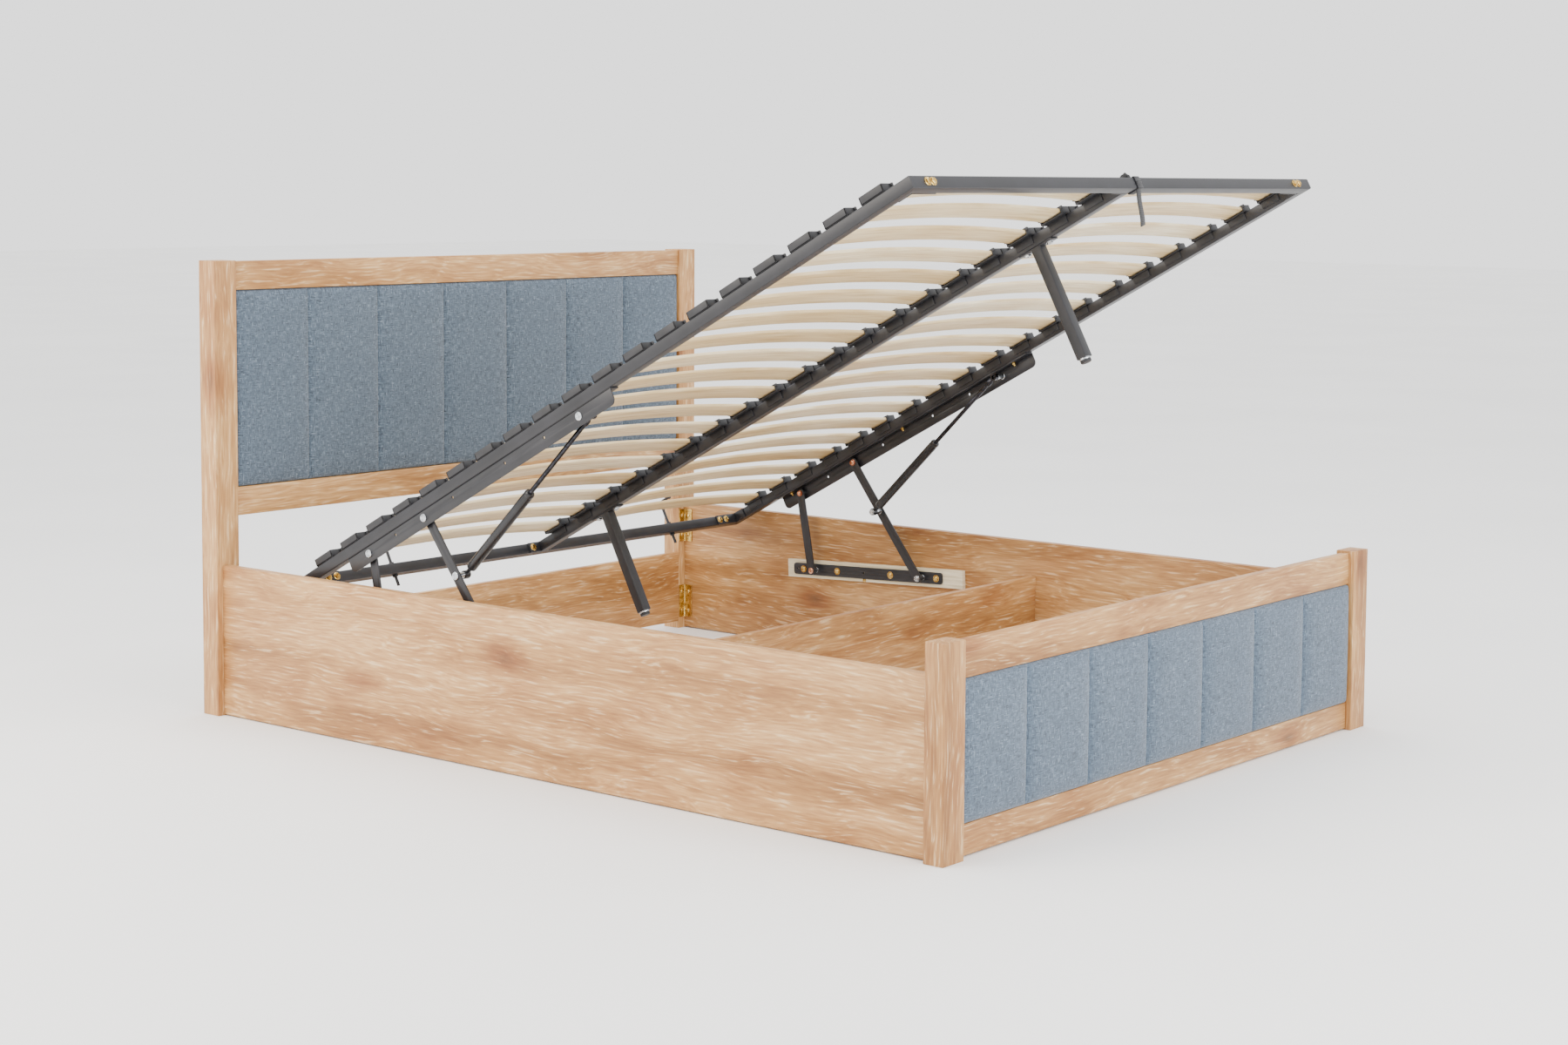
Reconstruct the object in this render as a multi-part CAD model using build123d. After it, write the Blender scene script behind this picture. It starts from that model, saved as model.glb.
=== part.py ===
from build123d import *
import math
import os

# Ottoman bed for a 1500 x 2000 mm mattress, in millimetres, shown with its slatted base lifted.
# X is the width, Y the length with the foot end at -Y, Z is up, and the floor is z = 0.
# The origin is the middle of the footprint. Names ending in _left lie at -X.

# Overall
bed_width = 1600.0
bed_length = 2120.0
floor_gap = 3.0
fit = 0.3

# Posts
head_post_width = 62.0
head_post_depth = 54.0
head_post_height = 1038.0
foot_post_width = 64.0
foot_post_depth = 46.0
foot_post_height = 409.0
post_edge = 1.5

# Boards
side_board_thickness = 22.0
side_board_height = 342.0
side_board_inset = 16.0
board_edge = 1.0
divider_thickness = 16.0
divider_clearance = 9.0
divider_y = -160.0
head_end_board_thickness = 16.0
head_end_board_height = 190.0
head_end_board_lift = 20.0

# Headboard and footboard
head_rail_thickness = 24.0
head_rail_recess = 5.0
head_rail_height = 65.0
head_rail_drop = 2.0
head_panel_height = 451.0
foot_rail_thickness = 20.0
foot_rail_recess = 14.0
foot_top_rail_height = 70.0
foot_rail_drop = 5.0
foot_bottom_rail_height = 59.0
foot_bottom_rail_lift = 4.0
pad_channels = 7
pad_crown = 9.0
pad_depth = 26.0
head_pad_proud = 3.0
foot_pad_proud = -1.0
back_panel_thickness = 9.0

# Corner brackets that join the side boards to the posts
corner_plate = 2.5
corner_bracket_height = 88.0
corner_board_leg = 28.0
corner_edge_gap = 1.0
corner_bracket_heights = (75.0, 284.0)
corner_bolt_pitch = 52.0
corner_bolt_head_radius = 5.5
corner_bolt_head = 3.0

# Lifting base, measured in its closed, level pose
base_foot_gap = 38.0
base_head_gap = 29.0
base_sink = 51.0
open_angle = 28.1
tube = 25.0
tube_wall = 1.5
slat_count = 19
first_slat = 94.0
last_slat_inset = 107.6
slat_width = 53.0
slat_thickness = 8.0
slat_rise = 17.0
slat_seat = 3.6
cap_length = 60.0
cap_height = 17.0
cap_wall = 2.5
cap_reach = 32.0
cap_roof = 1.6
cap_skirt = 17.0
support_leg_inset = 267.5
leg_plate_length = 92.0
leg_plate = 3.0
leg_bolt_pitch = 62.0
glide_radius = 12.0
glide_height = 9.0
glide_floor_gap = 1.0
corner_angle_leg = 74.0
corner_angle_short_leg = 36.0
corner_angle_plate = 3.0
foot_corner_bolts = (50.5, 66.5)
head_corner_bolts = (64.5, 88.5)
centre_tab = 48.0
centre_plate = 3.0
centre_bolt_inset = 35.0
retainer_radius = 3.5
retainer_inset = 266.5
retainer_drop = 27.0
retainer_rise = 63.0
retainer_hook = 34.0
strap_width = 19.0
strap_thickness = 2.2
strap_tail = 92.0
strap_x = 24.0
strap_tail_shift = 14.0
strap_knot_shift = -19.0
strap_knot_height = 11.0

# Lifting mechanism, one on each side, as places on the base and on the side board
spacer_thickness = 12.0
spacer_height = 47.0
spacer_past_rear = 100.0
spacer_past_front = 124.0
base_bar_thickness = 5.0
base_bar_height = 30.0
base_bar_past_rear = 76.0
base_bar_past_front = 62.0
base_bar_corner = 7.0
base_bar_bolts = (-42.0, 72.0, 248.0, 396.0)
rear_base_pivot_inset = 483.0
rear_base_pivot_drop = 85.0
front_base_pivot_drop = 70.0
base_pivot_pitch = 351.0
rear_pivot_inset = 254.0
upper_pivot_pitch = 200.0
strut_pivot_pitch = 727.0
pivot_drop = 41.0
bracket_past_strut = 106.0
bracket_past_rear = 70.0
bracket_depth = 35.0
bracket_plate = 3.0
bracket_corner = 14.0
bracket_bolt_offsets = (-52.0, 338.0, 752.0)
link_width = 24.0
link_thickness = 4.0
link_bracket_gap = 6.0
pin_radius = 4.0
pin_clearance = 0.08
pin_head_radius = 9.0
pin_head = 3.5
rear_pin_collar = 2.5
pin_nut = 5.5
pin_nut_radius = 7.0
bush_radius = 7.0
stud_share = 0.58
strut_offset = 24.0
strut_eye_radius = 9.0
strut_eye_thickness = 12.0
strut_radius = 11.0
strut_wall = 2.0
strut_rod_radius = 5.0
strut_neck_width = 7.0
strut_neck = 24.0
strut_cylinder_end = 276.0
strut_gland = 16.0
piston_length = 12.0

# Fasteners
bar_head = 4.7
hex_radius = 6.8
hex_height = 5.0
small_hex_radius = 5.3

# Derived places of the fixed frame
half_width = bed_width / 2
foot_face = -bed_length / 2
head_face = bed_length / 2
foot_post_back = foot_face + foot_post_depth
head_post_front = head_face - head_post_depth
board_outer = half_width - side_board_inset
board_inner = board_outer - side_board_thickness
board_top = floor_gap + side_board_height
head_inner = half_width - head_post_width
foot_inner = half_width - foot_post_width
bar_face = board_inner - spacer_thickness
bar_inner = bar_face - base_bar_thickness
rail_outer = bar_inner - bar_head - fit - pin_head
base_width = 2 * rail_outer
base_length = head_post_front - foot_post_back - base_foot_gap - base_head_gap
base_foot_end_closed = foot_post_back + base_foot_gap
base_top_closed = board_top - base_sink
slat_pitch = (base_length - first_slat - last_slat_inset) / (slat_count - 1)
support_leg_places = (support_leg_inset, base_length - support_leg_inset)
retainer_x = rail_outer - retainer_inset
bracket_inner = rail_outer - bracket_plate
link_outer = bracket_inner - link_bracket_gap
link_inner = link_outer - link_thickness
strut_x = link_inner - strut_offset
strut_eye_face = strut_x + strut_eye_thickness / 2
rear_pivot_y = head_post_front - rear_base_pivot_inset
rear_base_pivot = (rear_pivot_y, base_top_closed - rear_base_pivot_drop)
front_base_pivot = (rear_pivot_y - base_pivot_pitch, base_top_closed - front_base_pivot_drop)
rear_pivot_place = base_length - rear_pivot_inset
front_pivot_place = rear_pivot_place - upper_pivot_pitch
strut_pivot_place = rear_pivot_place - strut_pivot_pitch
bracket_front_place = strut_pivot_place - bracket_past_strut
bracket_rear_place = rear_pivot_place + bracket_past_rear
bracket_bolt_places = [strut_pivot_place + offset for offset in bracket_bolt_offsets]
slat_outer_end = rail_outer - cap_wall - fit
slat_inner_end = cap_wall / 2 + fit
pocket_low = slat_seat - fit
pocket_high = cap_height - cap_roof
pocket_room = slat_width / 2 + fit


def turned(point, degrees):
    """Turn a (y, z) pair about the X axis, from +Y towards +Z."""
    c = math.cos(math.radians(degrees))
    s = math.sin(math.radians(degrees))
    return (c * point[0] - s * point[1], s * point[0] + c * point[1])


def heading(start, end):
    """Angle of the line between two (y, z) places, from +Y towards +Z, in degrees."""
    return math.degrees(math.atan2(end[1] - start[1], end[0] - start[0]))


def circle_crossing(first, first_radius, second, second_radius):
    """The higher of the two places where two circles in the YZ plane cross."""
    gap = math.dist(first, second)
    along = (first_radius**2 - second_radius**2 + gap**2) / (2 * gap)
    rise = math.sqrt(first_radius**2 - along**2)
    ey = (second[0] - first[0]) / gap
    ez = (second[1] - first[1]) / gap
    middle = (first[0] + along * ey, first[1] + along * ez)
    sides = [(middle[0] - k * rise * ez, middle[1] + k * rise * ey) for k in (1, -1)]
    return max(sides, key=lambda place: place[1])


def solve_linkage():
    """Places of every pivot with the base closed and with it lifted by open_angle."""
    closed_height = base_top_closed - pivot_drop
    front_closed = (base_foot_end_closed + front_pivot_place, closed_height)
    rear_closed = (base_foot_end_closed + rear_pivot_place, closed_height)
    strut_closed = (base_foot_end_closed + strut_pivot_place, closed_height)
    front_length = math.dist(front_base_pivot, front_closed)
    rear_length = math.dist(rear_base_pivot, rear_closed)
    apart = turned((rear_pivot_place - front_pivot_place, 0), -open_angle)
    shifted = (rear_base_pivot[0] - apart[0], rear_base_pivot[1] - apart[1])
    front_open = circle_crossing(front_base_pivot, front_length, shifted, rear_length)
    rear_open = (front_open[0] + apart[0], front_open[1] + apart[1])
    back = turned((-front_pivot_place, pivot_drop), -open_angle)
    origin = (front_open[0] + back[0], front_open[1] + back[1])
    out = turned((strut_pivot_place, -pivot_drop), -open_angle)
    strut_open = (origin[0] + out[0], origin[1] + out[1])

    def stud(end):
        return tuple(b + stud_share * (e - b) for b, e in zip(front_base_pivot, end))

    return {
        "front_open": front_open,
        "front_closed": front_closed,
        "rear_open": rear_open,
        "rear_closed": rear_closed,
        "strut_open": strut_open,
        "strut_closed": strut_closed,
        "stud_open": stud(front_open),
        "stud_closed": stud(front_closed),
        "base_origin": origin,
    }


places = solve_linkage()
base_place = Location((0, *places["base_origin"]), (-open_angle, 0, 0))
bar_angle = heading(rear_base_pivot, front_base_pivot)
front_link_length = math.dist(front_base_pivot, places["front_open"])
rear_link_length = math.dist(rear_base_pivot, places["rear_open"])
strut_length_open = math.dist(places["stud_open"], places["strut_open"])
strut_length_closed = math.dist(places["stud_closed"], places["strut_closed"])


def block(x0, x1, y0, y1, z0, z1):
    """A block between two corners."""
    size = (x1 - x0, y1 - y0, z1 - z0)
    return Pos((x0 + x1) / 2, (y0 + y1) / 2, (z0 + z1) / 2) * Box(*size)


def eased(solid, size, axis=Axis.Z):
    """Break the edges that run along one axis."""
    return chamfer(solid.edges().filter_by(axis), size)


def left_and_right(solid):
    """A piece modelled at +X and its mirror image."""
    return {"right": solid, "left": mirror(solid, about=Plane.YZ)}


def x_cylinder(radius, x0, x1, y, z):
    """A round bar along X."""
    return Pos((x0 + x1) / 2, y, z) * Rot(0, 90, 0) * Cylinder(radius, x1 - x0)


def x_hexagon(radius, x0, x1, y, z):
    """A hexagon nut or head along X."""
    sketch = Plane.YZ.offset(x0) * Pos(y, z) * RegularPolygon(radius, 6)
    return extrude(sketch, x1 - x0, dir=(1, 0, 0))


def y_hexagon(radius, x, ys, z):
    """A hexagon nut or head along Y."""
    sketch = Plane.XZ.offset(-ys[0]) * Pos(x, z) * RegularPolygon(radius, 6)
    return extrude(sketch, ys[1] - ys[0], dir=(0, 1, 0))


def z_hexagon(radius, x, y, zs):
    """A hexagon nut or head along Z."""
    sketch = Plane.XY.offset(zs[0]) * Pos(x, y) * RegularPolygon(radius, 6)
    return extrude(sketch, zs[1] - zs[0])


def square_tube(length):
    """A square tube along Y from the origin, with its top face at z = 0."""
    section = Rectangle(tube, tube) - Rectangle(tube - 2 * tube_wall, tube - 2 * tube_wall)
    section = Pos(0, -tube / 2) * section
    return extrude(Plane.XZ * section, length, dir=(0, 1, 0))


def group(solids):
    """Several separate solids as one node."""
    return Compound(children=list(solids))


# Posts and boards


def head_post():
    """Square post at the head end, with softened edges."""
    post = block(head_inner, half_width, head_post_front, head_face, 0, head_post_height)
    post = eased(post, post_edge)
    return chamfer(post.faces().sort_by(Axis.Z)[-1].edges(), post_edge / 2)


def foot_post():
    """Short post at the foot end."""
    post = block(foot_inner, half_width, foot_face, foot_post_back, 0, foot_post_height)
    post = eased(post, post_edge)
    return chamfer(post.faces().sort_by(Axis.Z)[-1].edges(), post_edge / 2)


def side_board():
    """Long board between the posts, set back from their outer faces."""
    board = block(board_inner, board_outer, foot_post_back, head_post_front, floor_gap, board_top)
    return eased(board, board_edge, Axis.Y)


def divider_board():
    """Upright board that stiffens the box and splits the storage space."""
    front = divider_y - divider_thickness / 2
    back = divider_y + divider_thickness / 2
    top = base_top_closed - tube - divider_clearance
    board = block(-board_inner, board_inner, front, back, floor_gap, top)
    return eased(board, board_edge, Axis.X)


def head_end_board():
    """Low board that closes the storage space between the head posts."""
    back = head_post_front + head_end_board_thickness
    low = head_end_board_lift
    board = block(-head_inner, head_inner, head_post_front, back, low, low + head_end_board_height)
    return eased(board, board_edge, Axis.X)


# Headboard and footboard


def rail_between(inner, front, thickness, low, height):
    """A cross rail between two posts."""
    rail = block(-inner, inner, front, front + thickness, low, low + height)
    return eased(rail, board_edge, Axis.X)


head_rail_front = head_post_front + head_rail_recess
head_top_rail_low = head_post_height - head_rail_drop - head_rail_height
head_panel_low = head_top_rail_low - head_panel_height
head_lower_rail_low = head_panel_low - head_rail_height
foot_rail_front = foot_face + foot_rail_recess
foot_top_rail_low = foot_post_height - foot_rail_drop - foot_top_rail_height
foot_panel_low = foot_bottom_rail_lift + foot_bottom_rail_height
foot_panel_height = foot_top_rail_low - foot_panel_low


def channelled_pad(inner, crown_front, low, height):
    """Upholstered panel with upright sewn channels, each crowned and rounded above and below."""
    width = 2 * (inner - fit)
    pitch = width / pad_channels
    seam = crown_front + pad_crown
    back = crown_front + pad_depth
    start = -width / 2
    with BuildSketch(Plane.XY) as outline:
        with BuildLine():
            for channel in range(pad_channels):
                x0 = start + channel * pitch
                ThreePointArc((x0, seam), (x0 + pitch / 2, crown_front), (x0 + pitch, seam))
            Polyline((start + width, seam), (start + width, back), (start, back), (start, seam))
        make_face()
    body = extrude(outline.sketch, height - 2 * fit)
    bottom = 0.0
    top = height - 2 * fit
    roll = 1.6 * pad_crown
    shoulder = crown_front + 0.22 * pad_crown
    with BuildSketch(Plane.YZ) as side:
        with BuildLine():
            Line((back, bottom), (seam, bottom))
            ThreePointArc((seam, bottom), (shoulder, roll * 0.45), (crown_front, roll))
            Line((crown_front, roll), (crown_front, top - roll))
            ThreePointArc((crown_front, top - roll), (shoulder, top - roll * 0.45), (seam, top))
            Line((seam, top), (back, top))
            Line((back, top), (back, bottom))
        make_face()
    envelope = extrude(side.sketch, width, both=True)
    return Pos(0, 0, low + fit) * (body & envelope)


def back_panel(inner, front, low, height):
    """Covered backing board behind an upholstered panel."""
    return block(-inner, inner, front, front + back_panel_thickness, low, low + height)


# Corner joints


def corner_bracket_set():
    """Folded steel angles between the side boards and the posts, two at each corner."""
    brackets = []
    bolts = []
    ends = ((head_post_front, -1, head_inner), (foot_post_back, 1, foot_inner))
    for face, inward, post_inner in ends:
        for height in corner_bracket_heights:
            low = height - corner_bracket_height / 2
            high = height + corner_bracket_height / 2
            post_leg_low = post_inner + corner_edge_gap
            y_plate = sorted((face, face + inward * corner_plate))
            y_leg = sorted((face, face + inward * corner_board_leg))
            on_post = block(post_leg_low, board_inner, *y_plate, low, high)
            on_board = block(board_inner - corner_plate, board_inner, *y_leg, low, high)
            brackets.append(on_post + on_board)
            for step in (-0.5, 0.5):
                z = height + step * corner_bolt_pitch
                x_post = (post_leg_low + board_inner - corner_plate) / 2
                y_post = [face + inward * (corner_plate + d) for d in (0, corner_bolt_head)]
                bolts.append(y_hexagon(corner_bolt_head_radius, x_post, sorted(y_post), z))
                y_board = face + inward * (corner_plate + corner_board_leg) / 2
                x1 = board_inner - corner_plate
                bolts.append(x_hexagon(corner_bolt_head_radius, x1 - corner_bolt_head, x1, y_board, z))
    both = [left_and_right(b) for b in brackets]
    both_bolts = [left_and_right(b) for b in bolts]
    return (
        group(p for pair in both for p in pair.values()),
        group(p for pair in both_bolts for p in pair.values()),
    )


# Lifting mechanism on the side boards


def bar_local(x0, x1, before, after, height, corner):
    """A plate along the line of the base pivots, with rounded corners."""
    length = before + after
    sketch = RectangleRounded(length, height, corner) if corner else Rectangle(length, height)
    sketch = Plane.YZ.offset(x0) * Pos((after - before) / 2, 0) * sketch
    plate = extrude(sketch, x1 - x0, dir=(1, 0, 0))
    return Pos(0, *rear_base_pivot) * Rot(bar_angle, 0, 0) * plate


def along_bar(distance):
    """Place on the line of the base pivots, measured from the rear one towards the foot end."""
    step = turned((distance, 0), bar_angle)
    return (rear_base_pivot[0] + step[0], rear_base_pivot[1] + step[1])


pivot_spread = math.dist(rear_base_pivot, front_base_pivot)


def spacer_board():
    """Plywood packer between the side board and the mechanism."""
    before = spacer_past_rear
    after = pivot_spread + spacer_past_front
    return bar_local(bar_face, board_inner, before, after, spacer_height, 0)


def base_bar():
    """Steel bar that carries the two lower pivots."""
    before = base_bar_past_rear
    after = pivot_spread + base_bar_past_front
    return bar_local(bar_inner, bar_face, before, after, base_bar_height, base_bar_corner)


def base_bar_bolt_set():
    """Heads of the hexagon screws that hold the bar through the packer."""
    bolts = []
    for distance in base_bar_bolts:
        y, z = along_bar(distance)
        bolts.append(x_hexagon(hex_radius, bar_inner - bar_head, bar_inner, y, z))
    return group(p for b in bolts for p in left_and_right(b).values())


def front_pivot_stud():
    """Shouldered stud on the bar, with a nut, on which a long link turns."""
    y, z = front_base_pivot
    shoulder = x_cylinder(bush_radius, link_outer + fit, bar_inner, y, z)
    shank = x_cylinder(pin_radius, link_inner - fit, link_outer + fit, y, z)
    nut = x_hexagon(pin_nut_radius, link_inner - pin_nut - fit, link_inner - fit, y, z)
    return shoulder + shank + nut


def rear_pivot_stud():
    """Stud on the bar that ends just short of the collar on a short link's lower pin."""
    y, z = rear_base_pivot
    return x_cylinder(bush_radius, link_outer + rear_pin_collar + fit, bar_inner, y, z)


def link(length):
    """Flat steel link between two eyes, along Y from its lower pivot."""
    sketch = Pos(length / 2, 0) * SlotCenterToCenter(length, link_width)
    for place in (0, length):
        sketch -= Pos(place, 0) * Circle(pin_radius + pin_clearance)
    return extrude(Plane.YZ.offset(link_inner) * sketch, link_thickness, dir=(1, 0, 0))


def set_link(piece, lower, upper):
    """Lay a piece that was drawn along Y on the line between two pivots."""
    return Pos(0, *lower) * Rot(heading(lower, upper), 0, 0) * piece


def front_link():
    """Long link, which also carries the gas strut's lower stud."""
    return set_link(link(front_link_length), front_base_pivot, places["front_open"])


def rear_link():
    """Short link nearest the head end."""
    return set_link(link(rear_link_length), rear_base_pivot, places["rear_open"])


def strut_lower_stud():
    """Shouldered stud on the long link, on which the strut's lower eye turns."""
    y, z = places["stud_open"]
    nut_face = strut_x - strut_eye_thickness / 2 - fit
    collar = x_cylinder(bush_radius, strut_eye_face + fit, link_inner, y, z)
    shank = x_cylinder(pin_radius, nut_face, strut_eye_face + fit, y, z)
    nut = x_hexagon(pin_nut_radius, nut_face - pin_nut, nut_face, y, z)
    return collar + shank + nut


def rear_link_pin():
    """Pin in the lower eye of a short link, in line with the bar's stud at both ends of the lift."""
    y, z = rear_base_pivot
    collar = x_cylinder(bush_radius, link_outer, link_outer + rear_pin_collar, y, z)
    shank = x_cylinder(pin_radius, link_inner, link_outer, y, z)
    nut = x_hexagon(pin_nut_radius, link_inner - pin_nut, link_inner, y, z)
    return collar + shank + nut


def along_strut(radius, start, end):
    """A round bar on the axis of the gas strut."""
    return Pos(strut_x, (start + end) / 2, 0) * Rot(90, 0, 0) * Cylinder(radius, end - start)


def strut_cylinder():
    """Pressure tube of the gas strut with its lower eye, drawn along Y from the eye."""
    half_eye = strut_eye_thickness / 2
    eye = x_cylinder(strut_eye_radius, strut_x - half_eye, strut_eye_face, 0, 0)
    half_neck = strut_neck_width / 2
    neck = block(strut_x - half_neck, strut_x + half_neck, 0, strut_neck, -half_neck, half_neck)
    body = along_strut(strut_radius, strut_neck, strut_cylinder_end)
    bore = along_strut(strut_radius - strut_wall, strut_neck + strut_wall, strut_cylinder_end - strut_gland)
    gland = along_strut(strut_rod_radius + pin_clearance, strut_cylinder_end / 2, strut_cylinder_end)
    hole = x_cylinder(pin_radius + pin_clearance, strut_x - strut_radius, strut_x + strut_radius, 0, 0)
    piece = eye + neck + body - bore - gland - hole
    return set_link(piece, places["stud_open"], places["strut_open"])


def strut_rod():
    """Polished rod with its piston inside the tube and its eye at the base bracket."""
    stroke = strut_length_open - strut_length_closed
    piston_front = strut_neck + strut_wall + 2 * fit + stroke
    piston_back = piston_front + piston_length
    piston = along_strut(strut_radius - strut_wall - pin_clearance, piston_front, piston_back)
    rod = along_strut(strut_rod_radius, piston_back, strut_length_open)
    half_eye = strut_eye_thickness / 2
    eye = x_cylinder(strut_eye_radius, strut_x - half_eye, strut_eye_face, strut_length_open, 0)
    piece = rod + piston + eye
    return set_link(piece, places["stud_open"], places["strut_open"])


# Lifting base, drawn level with its foot end at y = 0 and its top face at z = 0


def on_base(solid):
    """Put a piece of the base in the lifted pose."""
    return base_place * solid


def base_side_rail():
    """Side tube with mitred ends and the two corner angles welded inside it."""
    rail = Pos(rail_outer - tube / 2, 0, 0) * square_tube(base_length)
    with BuildSketch(Plane.XY) as plan:
        with BuildLine():
            Polyline(
                (rail_outer, 0),
                (rail_outer, base_length),
                (rail_outer - tube, base_length - tube),
                (rail_outer - tube, tube),
                close=True,
            )
        make_face()
    rail = rail & Pos(0, 0, -tube) * extrude(plan.sketch, tube)
    return rail + corner_angle(tube, 1) + corner_angle(base_length - tube, -1)


def corner_angle(face, inward):
    """Steel angle in a corner of the base."""
    x1 = rail_outer - tube
    y_plate = sorted((face, face + inward * corner_angle_plate))
    y_leg = sorted((face, face + inward * corner_angle_short_leg))
    angle = block(x1 - corner_angle_leg, x1, *y_plate, -tube, 0)
    return angle + block(x1 - corner_angle_plate, x1, *y_leg, -tube, 0)


def end_rail(outer, inner):
    """Cross tube at one end of the base, mitred to the side tubes."""
    centre = (outer + inner) / 2
    section = Rectangle(tube, tube) - Rectangle(tube - 2 * tube_wall, tube - 2 * tube_wall)
    section = Plane.YZ.offset(-rail_outer) * Pos(centre, -tube / 2) * section
    rail = extrude(section, base_width, dir=(1, 0, 0))
    with BuildSketch(Plane.XY) as plan:
        with BuildLine():
            Polyline(
                (-rail_outer, outer),
                (rail_outer, outer),
                (rail_outer - tube, inner),
                (-rail_outer + tube, inner),
                close=True,
            )
        make_face()
    return rail & Pos(0, 0, -tube) * extrude(plan.sketch, tube)


def head_rail():
    """End tube at the head end, with the holes for the mattress retainers."""
    rail = end_rail(base_length, base_length - tube)
    hole = RegularPolygon(retainer_radius + fit, 8)
    for k in (1, -1):
        place = Pos(k * retainer_x, base_length - tube / 2, -2 * tube)
        rail -= place * extrude(hole, 4 * tube)
    return rail


def base_centre_rail():
    """Centre tube with a plate at each end that reaches to one side for its bolt."""
    length = base_length - 2 * tube - 2 * centre_plate
    rail = Pos(0, tube + centre_plate, 0) * square_tube(length)
    for y0 in (tube, base_length - tube - centre_plate):
        rail += block(-centre_tab, tube / 2, y0, y0 + centre_plate, -tube, 0)
    return rail


def frame_head(x, face, way):
    """Hexagon head or nut on a face of the base tubes, pointing along Y."""
    return y_hexagon(hex_radius, x, sorted((face, face + way * hex_height)), -tube / 2)


def base_frame_bolt_set():
    """Heads and nuts of the bolts through the end tubes, corner angles and centre plates."""
    reach = tube + corner_angle_plate
    bolts = []
    for k in (1, -1):
        for inset in foot_corner_bolts:
            x = k * (rail_outer - inset)
            bolts += [frame_head(x, 0, -1), frame_head(x, reach, 1)]
        for inset in head_corner_bolts:
            x = k * (rail_outer - inset)
            bolts += [frame_head(x, base_length - reach, -1), frame_head(x, base_length, 1)]
    bolts.append(frame_head(-centre_bolt_inset, tube + centre_plate, 1))
    bolts.append(frame_head(-centre_bolt_inset, base_length - tube - centre_plate, -1))
    return group(bolts)


def slat(y):
    """Bowed birch slat between the side tube and the centre tube."""
    x0 = slat_inner_end
    x1 = slat_outer_end
    middle = (x0 + x1) / 2
    low = slat_seat
    high = slat_seat + slat_thickness
    with BuildSketch(Plane.XZ.offset(-(y - slat_width / 2))) as profile:
        with BuildLine():
            ThreePointArc((x0, low), (middle, low + slat_rise), (x1, low))
            Line((x1, low), (x1, high))
            ThreePointArc((x1, high), (middle, high + slat_rise), (x0, high))
            Line((x0, high), (x0, low))
        make_face()
    return extrude(profile.sketch, slat_width, dir=(0, 1, 0))


def slat_places():
    """Y of each slat's centre line."""
    return [first_slat + k * slat_pitch for k in range(slat_count)]


def slat_set():
    """One column of slats."""
    return group(slat(y) for y in slat_places())


def side_cap():
    """Moulded holder that sits on the side tube, open towards the middle of the bed."""
    x1 = rail_outer
    x0 = rail_outer - cap_reach
    half = cap_length / 2
    shell = block(x0, x1, -half, half, 0, cap_height)
    upper_outer = shell.edges().filter_by(Axis.Y).sort_by(Axis.X)[-2:].sort_by(Axis.Z)[-1]
    shell = chamfer(upper_outer, cap_wall * 2)
    pocket = block(x0 - 1, x1 - cap_wall, -pocket_room, pocket_room, pocket_low, pocket_high)
    corner = rail_outer - tube
    return shell - pocket + block(corner - cap_wall, corner, -half, half, -cap_skirt, 0)


def centre_cap():
    """Double holder that sits astride the centre tube."""
    half = cap_length / 2
    piece = block(-cap_reach, cap_reach, -half, half, 0, cap_height)
    for k in (1, -1):
        span = sorted((k * cap_wall / 2, k * (cap_reach + 1)))
        piece -= block(*span, -pocket_room, pocket_room, pocket_low, pocket_high)
        side = sorted((k * tube / 2, k * (tube / 2 + cap_wall)))
        piece += block(*side, -half, half, -cap_skirt, 0)
    return piece


def repeated(piece, ys):
    """Copies of a piece along the base."""
    return group(Pos(0, y, 0) * piece for y in ys)


leg_top = -tube - leg_plate
leg_bottom = -base_top_closed + glide_floor_gap + glide_height


def support_leg(y):
    """Tube leg under the centre tube, with its mounting plate."""
    half_plate = leg_plate_length / 2
    plate = block(-tube / 2, tube / 2, y - half_plate, y + half_plate, leg_top, -tube)
    section = Rectangle(tube, tube) - Rectangle(tube - 2 * tube_wall, tube - 2 * tube_wall)
    post = Pos(0, y, leg_bottom) * extrude(section, leg_top - leg_bottom)
    cap = Pos(0, y, leg_bottom + tube_wall / 2) * Box(tube - tube_wall, tube - tube_wall, tube_wall)
    return plate + post + cap


def leg_glide(y):
    """Round foot under a support leg."""
    return Pos(0, y, leg_bottom - glide_height / 2) * Cylinder(glide_radius, glide_height)


def leg_bolt_set():
    """Heads of the bolts that hang each leg's plate from the centre tube."""
    heights = (leg_top - hex_height, leg_top)
    offsets = (-leg_bolt_pitch / 2, leg_bolt_pitch / 2)
    return group(z_hexagon(hex_radius, 0, y + o, heights) for y in support_leg_places for o in offsets)


def lift_bracket():
    """Steel angle under the side tube, which carries the three upper pivots."""
    low = -tube - bracket_depth
    length = bracket_rear_place - bracket_front_place
    middle = (bracket_rear_place + bracket_front_place) / 2
    sketch = Pos(middle, (low - tube) / 2) * Rectangle(length, bracket_depth)
    plate = extrude(Plane.YZ.offset(bracket_inner) * sketch, bracket_plate, dir=(1, 0, 0))
    lower = plate.edges().filter_by(Axis.X).group_by(Axis.Z)[0]
    plate = fillet(lower, bracket_corner)
    flange = block(
        rail_outer - tube,
        bracket_inner,
        bracket_front_place,
        bracket_rear_place,
        -tube - bracket_plate,
        -tube,
    )
    return plate + flange


def bracket_bolt_set():
    """Heads of the bolts that hold the angle to the side tube."""
    face = -tube - bracket_plate
    heights = (face - hex_height, face)
    x = rail_outer - tube / 2
    bolts = [z_hexagon(small_hex_radius, x, place, heights) for place in bracket_bolt_places]
    return group(p for b in bolts for p in left_and_right(b).values())


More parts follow.
